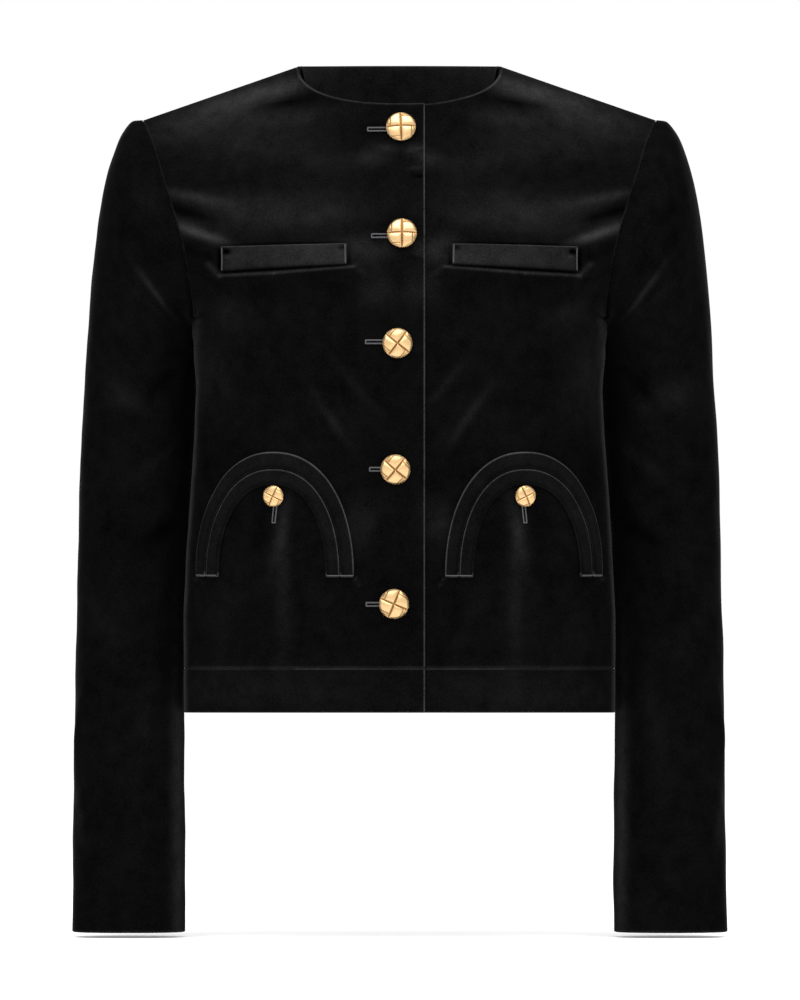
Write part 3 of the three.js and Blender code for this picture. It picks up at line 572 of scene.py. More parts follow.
BACK_FOLDS = (
    (168, -120, 120, -205, 10, 2.4),
    (140, -150, 104, -300, 14, -2.0),
    (60, -330, 70, -470, 16, 1.6),
)
BACK_CREASES = (
    (176, -104, 140, -118, 4.0, 1.2),
    (172, -124, 138, -150, 4.5, -1.1),
    (158, -168, 128, -220, 5.0, 1.0),
    (150, -236, 112, -262, 6.0, -0.9),
    (70, -14, 34, -34, 5.0, 0.8),
    (40, -282, 6, -300, 7.0, 0.8),
    (52, -306, 10, -322, 7.0, -0.7),
    (118, -330, 96, -400, 7.0, 0.8),
    (24, -360, 20, -450, 8.0, -0.7),
)
# Painted highlights and shade of the back, in the same columns as on the fronts.
BACK_PAINTED_LIGHT = (
    (120, -22, 60, 10, -16, 0.45),
    (60, -24, 40, 12, 0, 0.20),
    (96, -112, 60, 18, 8, 0.30),
    (140, -136, 26, 5, 20, 0.35),
    (40, -210, 30, 60, 0, 0.10),
    (74, -380, 8, 70, 0, 0.20),
    (30, -292, 30, 7, 14, 0.25),
    (90, -478, 80, 16, 0, 0.14),
)
BACK = {
    "sections": BACK_SECTIONS, "neck_y": 60.0, "neck_z": 2.5, "neck_power": 2.05,
    "power": 2.2, "folds": BACK_FOLDS, "creases": BACK_CREASES, "facing": -1,
}
BACK_LEVELS = np.concatenate([np.linspace(BAND_LEVEL, 0, 96, endpoint=False), np.linspace(0, 1, 72)])
BACK_COLUMNS = 151


def back_grid(levels):
    """Outside points and nap of the back, from side seam to side seam."""
    share = np.linspace(-1, 1, BACK_COLUMNS)
    across = np.broadcast_to(np.sign(share) * np.abs(share) ** 1.1, (len(levels), len(share)))
    level = np.broadcast_to(levels[:, None], across.shape)
    points = body_point(BACK, across, level, 0)
    x, z = np.abs(points[..., 0]), points[..., 2]
    # Painted highlights and shade of the back, with painted highlight on crease crests and painted shade in
    # their troughs.
    painted_light = painted_light_patches(BACK_PAINTED_LIGHT, x, z) + 0.10 * fold_height(BACK_CREASES, x, z)
    # Painted sheen near the side seams, where the body turns away.
    painted_light = painted_light + PAINTED_SIDE_SHEEN * smooth(0.84, 0.93, np.abs(across)) * (1 - smooth(-0.10, 0.05, level))
    return points, painted_light


# The back's inner side is painted paler by under, as painted light in the shade inside the jacket.
sew_in(cloth_shell("velvet_back", *back_grid(BACK_LEVELS), under=0.3), "back")


# The hem band
# A straight band of the same velvet, 35 mm high and doubled at the hem. It is cut in three lengths,
# which are sewn to the lower edges of the two fronts and the back.
HEM_LEVELS = np.linspace(-1, BAND_LEVEL, 22)
for name, side in SIDES:
    rim = front_edge_highlight(HEM_LEVELS, side)
    cloth = cloth_shell("velvet_hem_" + name, *front_grid(HEM_LEVELS, side), rim=rim)
    sew_in(cloth, "hem_band_" + name)
sew_in(cloth_shell("velvet_hem_back", *back_grid(HEM_LEVELS)), "hem_band_back")


# The sleeves
# Long set-in sleeves, each one cut piece with a seam under the arm, eased into the armhole and lightly
# padded at the head. They hang beside the body, a little forward from the elbow down.
RING, OUTER_X, OUTER_Z, INNER_X, INNER_Z, RING_Y, DEPTH = range(7)
SLEEVE_RINGS = np.array([
    (0, 197.0, -41.0, 155.5, -195.0, 3, 55),
    (1, 203.5, -41.8, 158.0, -195.8, 3, 59),
    (2, 212.5, -52.0, 158.6, -198.5, 5, 61),
    (3, 219.8, -69.0, 158.5, -202.0, 8, 62),
    (4, 226.2, -90.0, 157.4, -206.5, 13, 62),
    (5, 230.6, -114.0, 156.4, -213.0, 18, 62),
    (6, 234.0, -141.0, 155.2, -221.0, 23, 61),
    (7, 237.2, -172.0, 154.6, -231.0, 27, 60),
    (8, 240.0, -212.0, 154.6, -247.0, 29, 58),
    (9, 242.4, -255.0, 155.6, -270.0, 30, 56),
    (10, 244.6, -294.0, 157.4, -300.0, 31, 54),
    (11, 246.0, -336.0, 159.6, -338.0, 31, 52),
    (12, 247.0, -380.0, 162.2, -380.0, 30, 50),
    (13, 248.0, -425.0, 164.2, -425.0, 28, 48),
    (14, 248.8, -470.0, 165.0, -470.0, 25, 46),
    (15, 249.4, -516.0, 164.8, -516.0, 21, 44),
    (16, 249.9, -564.0, 164.5, -564.0, 16, 42),
    (17, 250.4, -613.0, 164.2, -613.0, 11, 41),
    (18, 250.9, -663.0, 164.3, -663.0, 6, 39),
])
SLEEVE_POWER = 2.15
FOLD_RING = 40  # one ring step counts as this many millimetres along a fold
ARMHOLE_FADE = 4
# Folds of a sleeve: from ring x 40, angle to ring x 40, angle, where the angle is 0 on the outside, 90 in
# front, 180 beside the body and 270 behind, then width and height.
SLEEVE_FOLDS = (
    (180, 128, 320, 62, 12, 2.2),
    (260, 132, 400, 80, 12, -2.0),
    (424, 138, 496, 70, 11, 1.8),
    (608, 12, 536, 60, 10, 1.6),
    (180, 232, 340, 300, 13, 2.2),
    (380, 225, 500, 290, 13, -2.0),
    (460, 222, 560, 285, 12, 2.0),
)
SLEEVE_CREASES = (
    (50, 166, 260, 162, 16, 2.4),
    (60, 80, 120, 60, 8, 0.7),
    (226, 112, 244, 66, 6, 0.5),
    (310, 125, 370, 84, 6, -0.8),
    (392, 132, 420, 88, 6, 0.9),
    (452, 140, 470, 84, 6, -0.8),
    (500, 36, 540, 84, 8, 0.6),
    (652, 8, 628, 40, 5, 0.8),
    (560, 110, 640, 96, 9, 0.6),
    (210, 240, 280, 290, 6, 1.0),
    (400, 232, 440, 288, 6, 1.0),
    (440, 228, 480, 292, 6, -0.9),
    (490, 230, 520, 284, 6, 0.9),
    (600, 300, 640, 260, 8, 0.7),
)
# Painted highlights of a sleeve, in the same columns as on the fronts but by ring x 40 and angle.
SLEEVE_PAINTED_LIGHT = (
    (202, 97, 8, 18, 4, 0.40),
    (352, 78, 12, 26, -10, 0.18),
    (640, 152, 120, 12, 0, 0.75),
    (645, 22, 10, 22, -60, 0.30),
)
SEAM_ALLOWANCE = ((5.0, 3.6), (3.6, 3.3), (2.2, 2.8), (1.1, 2.1), (0.4, 1.2), (0.1, 0.5))  # reach, depth
SLEEVE_AXIS = (205, 15)  # x and y of an upright line inside the arm
SLEEVE_ROWS = 236
FRONT_SEAM_POINTS = 64  # from the shoulder to the underarm


def ring_point(ring, angle):
    """A point of the sleeve's plain outside, for columns of rings by rows of angles."""
    read = lambda column: read_table(SLEEVE_RINGS, column, ring)
    rounded = lambda v: np.sign(v) * np.abs(v) ** (2 / SLEEVE_POWER)
    along, forward = rounded(np.cos(angle)), rounded(np.sin(angle))
    return np.stack([
        (read(OUTER_X) + read(INNER_X)) / 2 + (read(OUTER_X) - read(INNER_X)) / 2 * along,
        read(RING_Y) - read(DEPTH) * forward,
        (read(OUTER_Z) + read(INNER_Z)) / 2 + (read(OUTER_Z) - read(INNER_Z)) / 2 * along,
    ], axis=-1)


def sleeve_grid(side):
    """Outside points and nap of a sleeve: rings from armhole to cuff, by places round the arm."""
    levels = np.linspace(1, 0, FRONT_SEAM_POINTS)
    seam = np.concatenate([
        plain_point(FRONT, np.ones(len(levels)), levels),
        plain_point(BACK, np.ones(len(levels) - 2), levels[1:-1][::-1]),
    ])
    top, under = (SLEEVE_RINGS[0, [x, RING_Y, z]] for x, z in ((OUTER_X, OUTER_Z), (INNER_X, INNER_Z)))
    centre, arm = (top + under) / 2, (top - under) / 2
    angle = np.arccos(np.clip((seam - centre) @ arm / (arm @ arm), -1, 1))
    angle = np.where(np.arange(len(seam)) < len(levels), angle, 2 * np.pi - angle)
    own = seam - ring_point(np.zeros_like(angle), angle)
    fine = np.linspace(0, 18, 400)
    front_line = ring_point(fine, np.full_like(fine, np.pi / 2))
    run = np.concatenate([[0], np.cumsum(np.linalg.norm(np.diff(front_line, axis=0), axis=-1))])
    run = run + 6 * fine  # gives the short rings of the sleeve head their share of the rows
    rings = np.interp(np.linspace(0, run[-1], SLEEVE_ROWS), run, fine)[:, None]
    points = ring_point(rings, angle[None]) + own * (1 - smooth(0, ARMHOLE_FADE, rings))[..., None]
    around = np.roll(points, -1, axis=1) - np.roll(points, 1, axis=1)
    normal = unit(np.cross(around, np.gradient(points, axis=0)))
    degrees = np.degrees(angle)[None]
    height = fold_height(SLEEVE_FOLDS, rings * FOLD_RING, degrees)
    fine_height = fold_height(SLEEVE_CREASES, rings * FOLD_RING, degrees)
    waves = cloth_waves(points[..., 0] + points[..., 1], points[..., 2], 30 + side, 0.7)
    fine_height = fine_height + waves
    height = height + fine_height * smooth(0, 1.2, rings)
    points = points + normal * height[..., None]
    to_body = unit(points[0] - points[1])
    allowance = [points[0] + to_body * reach - normal[0] * depth for reach, depth in SEAM_ALLOWANCE]
    painted_light = painted_light_patches(SLEEVE_PAINTED_LIGHT, rings * FOLD_RING, degrees)
    # Painted highlight on the crests of the creases and painted shade in their troughs.
    painted_light = painted_light + 0.10 * fold_height(SLEEVE_CREASES, rings * FOLD_RING, degrees)
    painted_light = np.concatenate([np.zeros((len(allowance), len(angle))), painted_light])
    return np.concatenate([allowance, points]) * (side, 1, 1), painted_light


for name, side in SIDES:
    inside = (side * SLEEVE_AXIS[0], SLEEVE_AXIS[1])
    cloth = cloth_shell("velvet_sleeve_" + name, *sleeve_grid(side), ring=True, inside=inside)
    sew_in(cloth, "sleeve_" + name)


# The back neck facing
# A thin shaped strip of the velvet, sewn along the neckline and turned in over the lining, so that pile
# and not lining shows inside the neck.
FACING_REACH = 0.285
FACING_DEPTH = 2.8
FACING_LOWEST = 8 / 11  # the level of its lower edge
FACING_GRID = (26, 81)
facing_across = np.linspace(-FACING_REACH, FACING_REACH, FACING_GRID[1])
facing_across = np.broadcast_to(facing_across, FACING_GRID)
facing_level = np.linspace(FACING_LOWEST, 1, FACING_GRID[0])[:, None]
facing_level = np.broadcast_to(facing_level, FACING_GRID)
facing_points = plain_point(BACK, facing_across, facing_level)
facing_points = facing_points - body_normal(BACK, facing_across, facing_level) * FACING_DEPTH
# The facing's inner side is painted paler by under, as painted light in the shade inside the neck.
cloth = cloth_shell("velvet_back_neck_facing", facing_points, thickness=1.0, under=0.85)
sew_in(cloth, "back_neck_facing")


# The chest welts
# A narrow doubled strip stands over each chest pocket mouth. It is sewn in along its lower edge and
# stitched down at both ends, so its upper edge and its ends show as thin rounded rims.
WELT_INNER_X, WELT_INNER_TOP, WELT_INNER_BOTTOM = 40.0, -137.2, -153.0
WELT_OUTER_X, WELT_OUTER_TOP, WELT_OUTER_BOTTOM = 135.0, -139.2, -157.8
WELT_RISE = 1.6
WELT_GRID = (70, 16)
TRIM_GAP = 0.4  # under what lies on a front


def place_on_front(x, z):
    """The share across and the level of the point that shows at x and z from the front."""
    x, z = np.broadcast_arrays(np.asarray(x, float), np.asarray(z, float))
    across = np.sign(x) * (np.abs(x) / 165) ** EVEN_COLUMNS
    level = np.interp(z, (-495, -195, -40), (-1, 0, 1))
    step = 1e-4
    for _ in range(16):
        here = plain_point(FRONT, across, level)
        by_across = (plain_point(FRONT, across + step, level) - here) / step
        by_level = (plain_point(FRONT, across, level + step) - here) / step
        miss_x, miss_z = x - here[..., 0], z - here[..., 2]
        scale = by_across[..., 0] * by_level[..., 2] - by_level[..., 0] * by_across[..., 2]
        across = across + (miss_x * by_level[..., 2] - miss_z * by_level[..., 0]) / scale
        level = level + (miss_z * by_across[..., 0] - miss_x * by_across[..., 2]) / scale
        across, level = np.clip(across, -0.98, 0.98), np.clip(level, -1, 0.98)
    return across, level


def on_front(x, z, height, side):
    """Points that show at x and z, raised off the cloth of one front by a height."""
    across, level = place_on_front(x, z)
    raised = body_normal(FRONT, across, level) * np.asarray(height, float)[..., None]
    return (body_point(FRONT, across, level, side) + raised) * (side, 1, 1)


def lerp(a, b, t):
    """The value a share t of the way from a to b."""
    return a + (b - a) * t


welt_along = np.linspace(0, 1, WELT_GRID[0])[:, None]
welt_down = np.linspace(0, 1, WELT_GRID[1])[None]
welt_x = np.broadcast_to(lerp(WELT_INNER_X, WELT_OUTER_X, welt_along), WELT_GRID)
welt_top = lerp(WELT_INNER_TOP, WELT_OUTER_TOP, welt_along)
welt_z = lerp(welt_top, lerp(WELT_INNER_BOTTOM, WELT_OUTER_BOTTOM, welt_along), welt_down)
# Painted shade where the bar tacks pucker the welt and along its foot, and a painted highlight by the outer
# tack: share along, share down, half widths, turn and strength.
WELT_PAINTED_PUCKERS = (
    (0.035, 0.20, 0.030, 0.13, 0, -0.75),
    (0.955, 0.22, 0.034, 0.14, 0, -0.75),
    (0.945, 0.42, 0.030, 0.08, 0, 0.45),
    (0.500, 0.97, 0.600, 0.08, 0, -0.35),
)
# Painted highlight along the welt's edges, none along its sewn lower edge.
welt_edge_highlight = np.full(WELT_GRID, 0.9)
welt_edge_highlight[1:-1, -1] = 0.0
for name, side in SIDES:
    points = on_front(welt_x, welt_z, np.full(welt_z.shape, TRIM_GAP + WELT_RISE), side)
    # The welt's face is painted paler, as a painted highlight strongest at its inner end, with painted
    # shade and highlight at the puckers.
    painted_light = 0.76 - 0.38 * welt_along + painted_light_patches(WELT_PAINTED_PUCKERS, welt_along, welt_down)
    cloth = cloth_shell("velvet_chest_welt_" + name, points, painted_light, rim=welt_edge_highlight, thickness=WELT_RISE)
    sew_in(cloth, "chest_welt_" + name)


# The arched pockets
# Two bands of velvet run round each pocket mouth in an arch, one inside the other, each with its outer
# edge folded under, and are stitched to the front.
ARCH_CENTRE_X = 95.5
ARCH_BASE_Z = -390.8
ARCH_POWER = 2.2
CENTRE_HALF, SIDE_HALF, PEAK_Z = range(3)
ARCHES = ((61.2, 58.4, -295.0), (50.2, 51.0, -308.2), (39.2, 41.4, -320.6))
BAND_GRID = (150, 10)
BAND_RISES = (("outer", 2.0, (0.262, 0.0118)), ("inner", 1.6, (0.222, 0.0116)))


def arch_point(arch, angle):
    """x and z of an arch, from the leg by the centre line over to the side leg."""
    across = np.cos(angle)
    half = np.where(across > 0, -arch[CENTRE_HALF], arch[SIDE_HALF])
    x = ARCH_CENTRE_X + half * np.abs(across) ** (2 / ARCH_POWER)
    z = ARCH_BASE_Z + (arch[PEAK_Z] - ARCH_BASE_Z) * np.maximum(np.sin(angle), 0) ** (2 / ARCH_POWER)
    return x, z


band_angle = np.linspace(0, np.pi, BAND_GRID[0])[:, None]
band_share = np.linspace(0.02, 0.98, BAND_GRID[1])[None]
# Painted highlight along each band's edges, faint along its inner edge.
band_edge_highlight = np.full(BAND_GRID, 1.9)
band_edge_highlight[2:-2, -1] = 0.15
for name, side in SIDES:
    for number, (place, rise, flat) in enumerate(BAND_RISES):
        x0, z0 = arch_point(ARCHES[number], band_angle)
        x1, z1 = arch_point(ARCHES[number + 1], band_angle)
        x, z = lerp(x0, x1, band_share), lerp(z0, z1, band_share)
        points = on_front(x, z, np.full(x.shape, TRIM_GAP + rise), side)
        # A faint painted highlight over each band, gone towards its inner edge.
        painted_light = 0.12 - 0.12 * smooth(0.6, 0.95, band_share) + 0 * band_angle
        cloth = cloth_shell(f"velvet_pocket_{place}_{name}", points, painted_light, rim=band_edge_highlight, thickness=rise)
        sew_in(cloth, f"pocket_{place}_band_{name}")


# The buttonholes
# Each front button goes through a worked buttonhole of dark thread that shows beside it, and each pocket
# button has one below it. The thread is wrapped tightly round the slit, with a bar at the end.
THREAD_RADIUS = 0.62
THREAD_WRAP = 0.95  # from one wrap to the next
HOLE_HALF_HEIGHT = 1.25


def sewing_thread():
    """Dark grey twisted polyester, with its wraps shaded finely."""
    material = bpy.data.materials.new("buttonhole_thread")
    material.use_nodes = True
    nodes, links = material.node_tree.nodes, material.node_tree.links
    shader = nodes["Principled BSDF"]
    place = nodes.new("ShaderNodeTexCoord")
    fibres = nodes.new("ShaderNodeTexNoise")
    fibres.inputs["Scale"].default_value = 2600
    links.new(place.outputs["Object"], fibres.inputs["Vector"])
    ramp = nodes.new("ShaderNodeValToRGB")
    ramp.color_ramp.elements[0].color = (0.018, 0.018, 0.020, 1)
    ramp.color_ramp.elements[1].color = (0.070, 0.070, 0.076, 1)
    links.new(fibres.outputs["Fac"], ramp.inputs["Fac"])
    links.new(ramp.outputs["Color"], shader.inputs["Base Color"])
    shader.inputs["Roughness"].default_value = 0.6
    return material


thread = sewing_thread()


def wrapped_thread(path, radius, wrap, side, lift):
    """A closed-ended run of wrapped thread on one front, along x and z points of the cloth."""
    path = np.asarray(path, float)
    run = np.concatenate([[0], np.cumsum(np.linalg.norm(np.diff(path, axis=0), axis=-1))])
    count = max(int(run[-1] / wrap * 5), 12)
    at = np.linspace(0, run[-1], count)
    x, z = np.interp(at, run, path[:, 0]), np.interp(at, run, path[:, 1])
    centre = on_front(x, z, np.full(count, TRIM_GAP + radius + lift), side)
    across, level = place_on_front(x, z)
    normal = body_normal(FRONT, across, level) * (side, 1, 1)
    along = unit(np.gradient(centre, axis=0))
    beside = unit(np.cross(along, normal))
    turns = np.linspace(0, 2 * np.pi, 12, endpoint=False)
    swell = 1 + 0.22 * np.cos(2 * np.pi * at / wrap)[:, None] * np.ones(12)
    ends = np.sqrt(np.clip(1 - (1 - np.minimum(at, run[-1] - at) / radius).clip(0, 1) ** 2, 0.02, 1))
    spread = (radius * swell * ends[:, None])[..., None]
    points = centre[:, None] + spread * (
        normal[:, None] * np.cos(turns)[:, None] + beside[:, None] * np.sin(turns)[:, None])
    number = np.arange(count * 12).reshape(count, 12)
    after = np.roll(number, -1, axis=1)
    faces = np.stack([number[:-1], after[:-1], after[1:], number[1:]], -1).reshape(-1, 4).tolist()
    faces += [number[0].tolist(), number[-1].tolist()]
    return points.reshape(-1, 3), faces


def worked_thread(name, paths, side, radius=THREAD_RADIUS, wrap=THREAD_WRAP, lift=0.0):
    """One piece of worked thread from several runs."""
    vertices, faces = [], []
    for path in paths:
        points, quads = wrapped_thread(path, radius, wrap, side, lift)
        start = sum(len(v) for v in vertices)
        vertices.append(points)
        faces += [[k + start for k in quad] for quad in quads]
    piece = make_piece(name, np.concatenate(vertices), faces)
    piece.data.materials.append(thread)
    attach(piece, "root")
    return piece


# Where each front buttonhole starts, seen from the front, and the height that it lies at.
FRONT_HOLES = ((-24.0, -50.0), (-21.0, -131.6), (-25.6, -212.0), (-22.6, -308.6), (-25.2, -411.4))
HOLE_END_X = 7.0  # under the button
for number, (start_x, hole_z) in enumerate(FRONT_HOLES, 1):
    top, bottom = hole_z + HOLE_HALF_HEIGHT, hole_z - HOLE_HALF_HEIGHT
    loop = [(HOLE_END_X, top), (-start_x, top), (-start_x, bottom), (HOLE_END_X, bottom)]
    worked_thread(f"buttonhole_{number}", [loop], -1)

POCKET_HOLE_X, POCKET_HOLE_TOP, POCKET_HOLE_BOTTOM = 93.6, -334.0, -349.2
POCKET_HOLE_HALF, POCKET_HOLE_LEAN = 1.15, 1.4
for name, side in SIDES:
    near, far = POCKET_HOLE_X - POCKET_HOLE_HALF, POCKET_HOLE_X + POCKET_HOLE_HALF
    loop = [
        (near, POCKET_HOLE_TOP), (near + POCKET_HOLE_LEAN, POCKET_HOLE_BOTTOM),
        (far + POCKET_HOLE_LEAN, POCKET_HOLE_BOTTOM), (far, POCKET_HOLE_TOP),
    ]
    worked_thread("pocket_buttonhole_" + name, [loop], side, radius=0.55)


# The end stitches
# A short bar of dark thread, sewn over and over, holds down each end of a chest welt, and one more
# crosses both bands at the foot of each pocket leg.
STITCH_FOOT = 1.3  # above the ends of the bands
for name, side in SIDES:
    ends = [
        [(WELT_INNER_X + 1.2, WELT_INNER_TOP - 1.0), (WELT_INNER_X + 1.0, WELT_INNER_BOTTOM + 0.6)],
        [(WELT_OUTER_X - 1.2, WELT_OUTER_TOP - 1.0), (WELT_OUTER_X - 1.0, WELT_OUTER_BOTTOM + 0.6)],
    ]
    worked_thread("welt_stitches_" + name, ends, side, radius=0.34, wrap=1.5, lift=WELT_RISE)
    legs = []
    for half, turn in ((CENTRE_HALF, -1), (SIDE_HALF, 1)):
        near, far = ARCHES[0][half] - 0.6, ARCHES[2][half] + 1.0
        foot = ARCH_BASE_Z + STITCH_FOOT
        legs.append([(ARCH_CENTRE_X + turn * near, foot), (ARCH_CENTRE_X + turn * far, foot)])
    worked_thread("pocket_stitches_" + name, legs, side, radius=0.36, wrap=1.6, lift=1.7)


# The buttons
# Domed metal shank buttons, five up the front and one on each pocket, cast in gold-coloured brass to look
# like a knot of four flat straps. They stand just off the cloth on their shanks.
BUTTON = {"radius": 11.4, "rim": 1.6, "dome": 4.2}
POCKET_BUTTON = {"radius": 8.1, "rim": 1.2, "dome": 3.0}
# Where each front button sits, seen from the front, and how far it is turned, in degrees.
FRONT_BUTTONS = (
    (1.1, -48.5, 2), (1.9, -129.9, 0), (-1.5, -213.0, -38),
    (-3.1, -308.6, -40), (-4.2, -411.0, -23),
)
POCKET_BUTTON_X = 95.0
POCKET_BUTTON_Z = -329.0
POCKET_BUTTON_TURN = 26  # turned the other way on the wearer's right
LAYER_GAP = 0.6
# Where a strap tucks under the next: shares of the radius, and the depths of the two lines there.
STRAP_TUCKS = ((0.73, 0.80), (0.87, 0.45))
GROOVE_WIDTH = 0.050
GROOVE_DEPTH = 0.070
STRAP_HALF = 0.16
STRAP_SWELL = 0.07


def gold_brass():
    """Satin gold-coloured brass, browner where polish doesn't reach the grooves."""
    material = bpy.data.materials.new("gold_brass")
    material.use_nodes = True
    nodes, links = material.node_tree.nodes, material.node_tree.links
    shader = nodes["Principled BSDF"]
    shader.inputs["Metallic"].default_value = 1.0
    depth = nodes.new("ShaderNodeAttribute")
    depth.attribute_name = "groove"
    ramp = nodes.new("ShaderNodeValToRGB")
    ramp.color_ramp.elements[0].color = (0.66, 0.45, 0.225, 1)
    ramp.color_ramp.elements[1].color = (0.22, 0.10, 0.03, 1)
    links.new(depth.outputs["Fac"], ramp.inputs["Fac"])
    links.new(ramp.outputs["Color"], shader.inputs["Base Color"])
    place = nodes.new("ShaderNodeTexCoord")
    brushed_grain_and_painted_light = nodes.new("ShaderNodeTexNoise")
    brushed_grain_and_painted_light.inputs["Scale"].default_value = 900
    brushed_grain_and_painted_light.inputs["Detail"].default_value = 4
    links.new(place.outputs["Object"], brushed_grain_and_painted_light.inputs["Vector"])
    spread = nodes.new("ShaderNodeMapRange")
    spread.inputs["To Min"].default_value = 0.34
    spread.inputs["To Max"].default_value = 0.52
    links.new(brushed_grain_and_painted_light.outputs["Fac"], spread.inputs["Value"])
    links.new(spread.outputs["Result"], shader.inputs["Roughness"])
    bump = nodes.new("ShaderNodeBump")
    bump.inputs["Strength"].default_value = 0.15
    bump.inputs["Distance"].default_value = 0.0002
    links.new(brushed_grain_and_painted_light.outputs["Fac"], bump.inputs["Height"])
    links.new(bump.outputs["Normal"], shader.inputs["Normal"])
    return material


gold = gold_brass()


def strap_grooves(x, y):
    """How deep the grooves between the four straps are at a spot of the unit disc, from 0 to 1.

    The cross between the straps runs right to the rim. Where each strap tucks under the next, two fainter
    grooves lie side by side, which are the folded end of the strap and the edge of the one over it.
    """
    line = lambda distance: np.exp(-((distance / GROOVE_WIDTH) ** 2))
    deepest = line(np.minimum(np.abs(x), np.abs(y)))
    for quarter in range(4):
        cos, sin = math.cos(quarter * math.pi / 2), math.sin(quarter * math.pi / 2)
        out, beside = x * cos + y * sin, np.maximum(y * cos - x * sin, 0)
        for place, depth in STRAP_TUCKS:
            deepest = np.maximum(deepest, depth * line(np.hypot(out - place, beside)))
    return deepest


def knot_button(name, sizes, x, z, turn, side, node):
    """A domed button, its back just off the cloth's highest spot under it."""
    count = 96
    across, down = np.meshgrid(np.linspace(-1, 1, count), np.linspace(-1, 1, count))
    disc_x, disc_y = across * np.sqrt(1 - down ** 2 / 2), down * np.sqrt(1 - across ** 2 / 2)
    reach = np.hypot(disc_x, disc_y)
    inside = 1 - smooth(0.86, 0.99, reach)
    groove = strap_grooves(disc_x, disc_y)
    swell = 1 - np.exp(-((np.minimum(np.abs(disc_x), np.abs(disc_y)) / STRAP_HALF) ** 2))
    dome = np.sqrt(np.clip(1 - (reach * 0.985) ** 2, 0, 1))
    radius = sizes["radius"]
    height = sizes["rim"] + sizes["dome"] * 0.94 * dome - radius * 0.01
    height = height + radius * inside * (STRAP_SWELL * swell - GROOVE_DEPTH * groove)
    face = np.stack([disc_x * radius, disc_y * radius, height], -1).reshape(-1, 3)
    number = np.arange(count * count).reshape(count, count)
    quads = [number[:-1, :-1], number[:-1, 1:], number[1:, 1:], number[1:, :-1]]
    faces = [np.stack(quads, -1).reshape(-1, 4)]
    loop = np.concatenate([number[0, :-1], number[:-1, -1], number[-1, :0:-1], number[:0:-1, 0]])
    rings, grooves = [face], [groove.reshape(-1)]
    above, start = loop, count * count
    for share, drop in ((1.0, 0.75), (0.985, 0.4), (0.95, 0.12), (0.90, 0.0)):
        rings.append(face[loop] * (share, share, 0) + (0, 0, sizes["rim"] * drop))
        grooves.append(np.full(len(loop), 0.5))
        here = np.arange(len(loop)) + start
        faces.append(np.stack([np.roll(above, -1), above, here, np.roll(here, -1)], -1))
        above, start = here, start + len(loop)
    points = np.concatenate(rings)
    spin = math.radians(turn * side)
    cos, sin = math.cos(spin), math.sin(spin)
    u, v, out = points[:, 0] * side, points[:, 1], points[:, 2]
    points = np.stack([u * cos - v * sin, u * sin + v * cos, out], -1)

    share, level = place_on_front(x, z)
    normal = body_normal(FRONT, share, level)
    centre = body_point(FRONT, share, level, side)
    around = np.linspace(0, 2 * np.pi, 13)
    rim_share, rim_level = place_on_front(x + radius * np.cos(around), z + radius * np.sin(around))
    bumps = (body_point(FRONT, rim_share, rim_level, side) - centre) @ normal
    seat = centre + normal * (max(0.0, float(bumps.max())) + LAYER_GAP)
    right = unit(np.cross((0, 0, 1), normal))
    up = np.cross(normal, right)
    points = seat + points[:, :1] * right + points[:, 1:2] * up + points[:, 2:] * normal
    # Each pocket button is worked out at +X, like the front that it is on, and then put on its own side.
    faces = np.concatenate(faces).tolist() + [above[::-1].tolist()]
    piece = make_piece(name, points * (side, 1, 1), faces)
    shade = piece.data.attributes.new("groove", "FLOAT", "POINT")
    shade.data.foreach_set("value", np.concatenate(grooves))
    piece.data.materials.append(gold)
    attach(piece, "root")
    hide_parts(node)
    return piece


for number, (x, z, turn) in enumerate(FRONT_BUTTONS, 1):
    knot_button(f"gold_front_button_{number}", BUTTON, -x, z, turn, -1, f"front_button_{number}")
for name, side in SIDES:
    knot_button("gold_pocket_button_" + name, POCKET_BUTTON, POCKET_BUTTON_X, POCKET_BUTTON_Z,
                side * POCKET_BUTTON_TURN, side, "pocket_button_" + name)


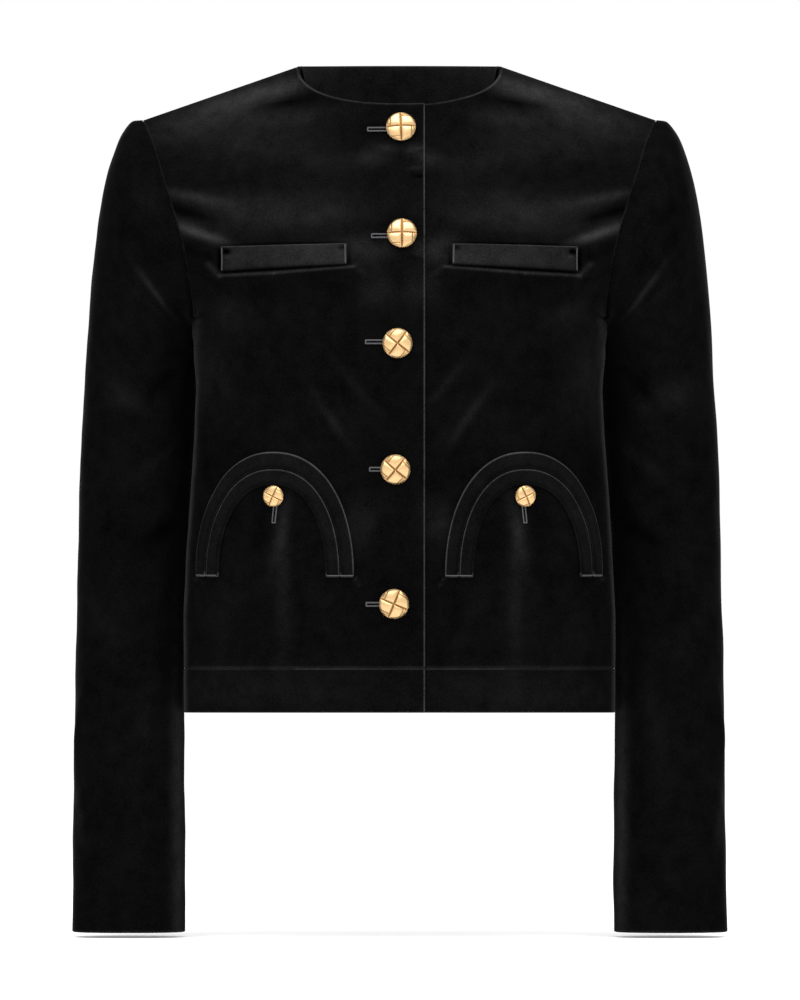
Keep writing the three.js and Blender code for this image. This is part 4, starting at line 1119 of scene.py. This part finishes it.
# The studio
# The camera stands level with the middle of the jacket and far off, as a long lens sees it. The floor
# and the surroundings are white, and one large soft light hangs above and in front.
PICTURE_HEIGHT = 0.766  # what the picture's height covers at the jacket
CAMERA_X, CAMERA_DISTANCE, CAMERA_Z = 0.0004, 12.0, -0.3321
SENSOR = 36.0
camera_data = bpy.data.cameras.new("camera")
camera_data.sensor_width = SENSOR
camera_data.lens = SENSOR * CAMERA_DISTANCE / PICTURE_HEIGHT
camera_data.clip_end = 200
camera = bpy.data.objects.new("camera", camera_data)
camera.location = (CAMERA_X, -CAMERA_DISTANCE, CAMERA_Z)
camera.rotation_euler = (math.pi / 2, 0, 0)
bpy.context.scene.collection.objects.link(camera)
bpy.context.scene.camera = camera

FLOOR_Z = -0.667
FLOOR_HALF = 40
floor_mesh = bpy.data.meshes.new("floor")
floor_corners = [(x * FLOOR_HALF, y * FLOOR_HALF, FLOOR_Z) for x, y in ((-1, -1), (1, -1), (1, 1), (-1, 1))]
floor_mesh.from_pydata(floor_corners, [], [(0, 1, 2, 3)])
floor = bpy.data.objects.new("floor", floor_mesh)
paper = bpy.data.materials.new("white_paper")
paper.use_nodes = True
paper.node_tree.nodes["Principled BSDF"].inputs["Base Color"].default_value = (0.82, 0.82, 0.82, 1)
paper.node_tree.nodes["Principled BSDF"].inputs["Roughness"].default_value = 0.9
paper.node_tree.nodes["Principled BSDF"].inputs["Emission Color"].default_value = (1, 1, 1, 1)
paper.node_tree.nodes["Principled BSDF"].inputs["Emission Strength"].default_value = 0.24
floor_mesh.materials.append(paper)
bpy.context.scene.collection.objects.link(floor)

world = bpy.data.worlds.new("white_room")
world.use_nodes = True
world.node_tree.nodes["Background"].inputs["Color"].default_value = (1, 1, 1, 1)
world.node_tree.nodes["Background"].inputs["Strength"].default_value = 1.0
bpy.context.scene.world = world


def soft_light(name, place, target, size, watts):
    """A square lamp at a place, turned to a target."""
    data = bpy.data.lights.new(name, "AREA")
    data.shape = "SQUARE"
    data.size = size
    data.energy = watts
    lamp = bpy.data.objects.new(name, data)
    lamp.location = place
    lamp.rotation_euler = (Vector(target) - Vector(place)).to_track_quat("-Z", "Y").to_euler()
    bpy.context.scene.collection.objects.link(lamp)


soft_light("light_above", (0.0, -1.2, 2.2), (0, 0, -0.25), 3.0, 115)

bpy.context.scene.view_settings.view_transform = "Standard"
bpy.context.scene.view_settings.look = "None"
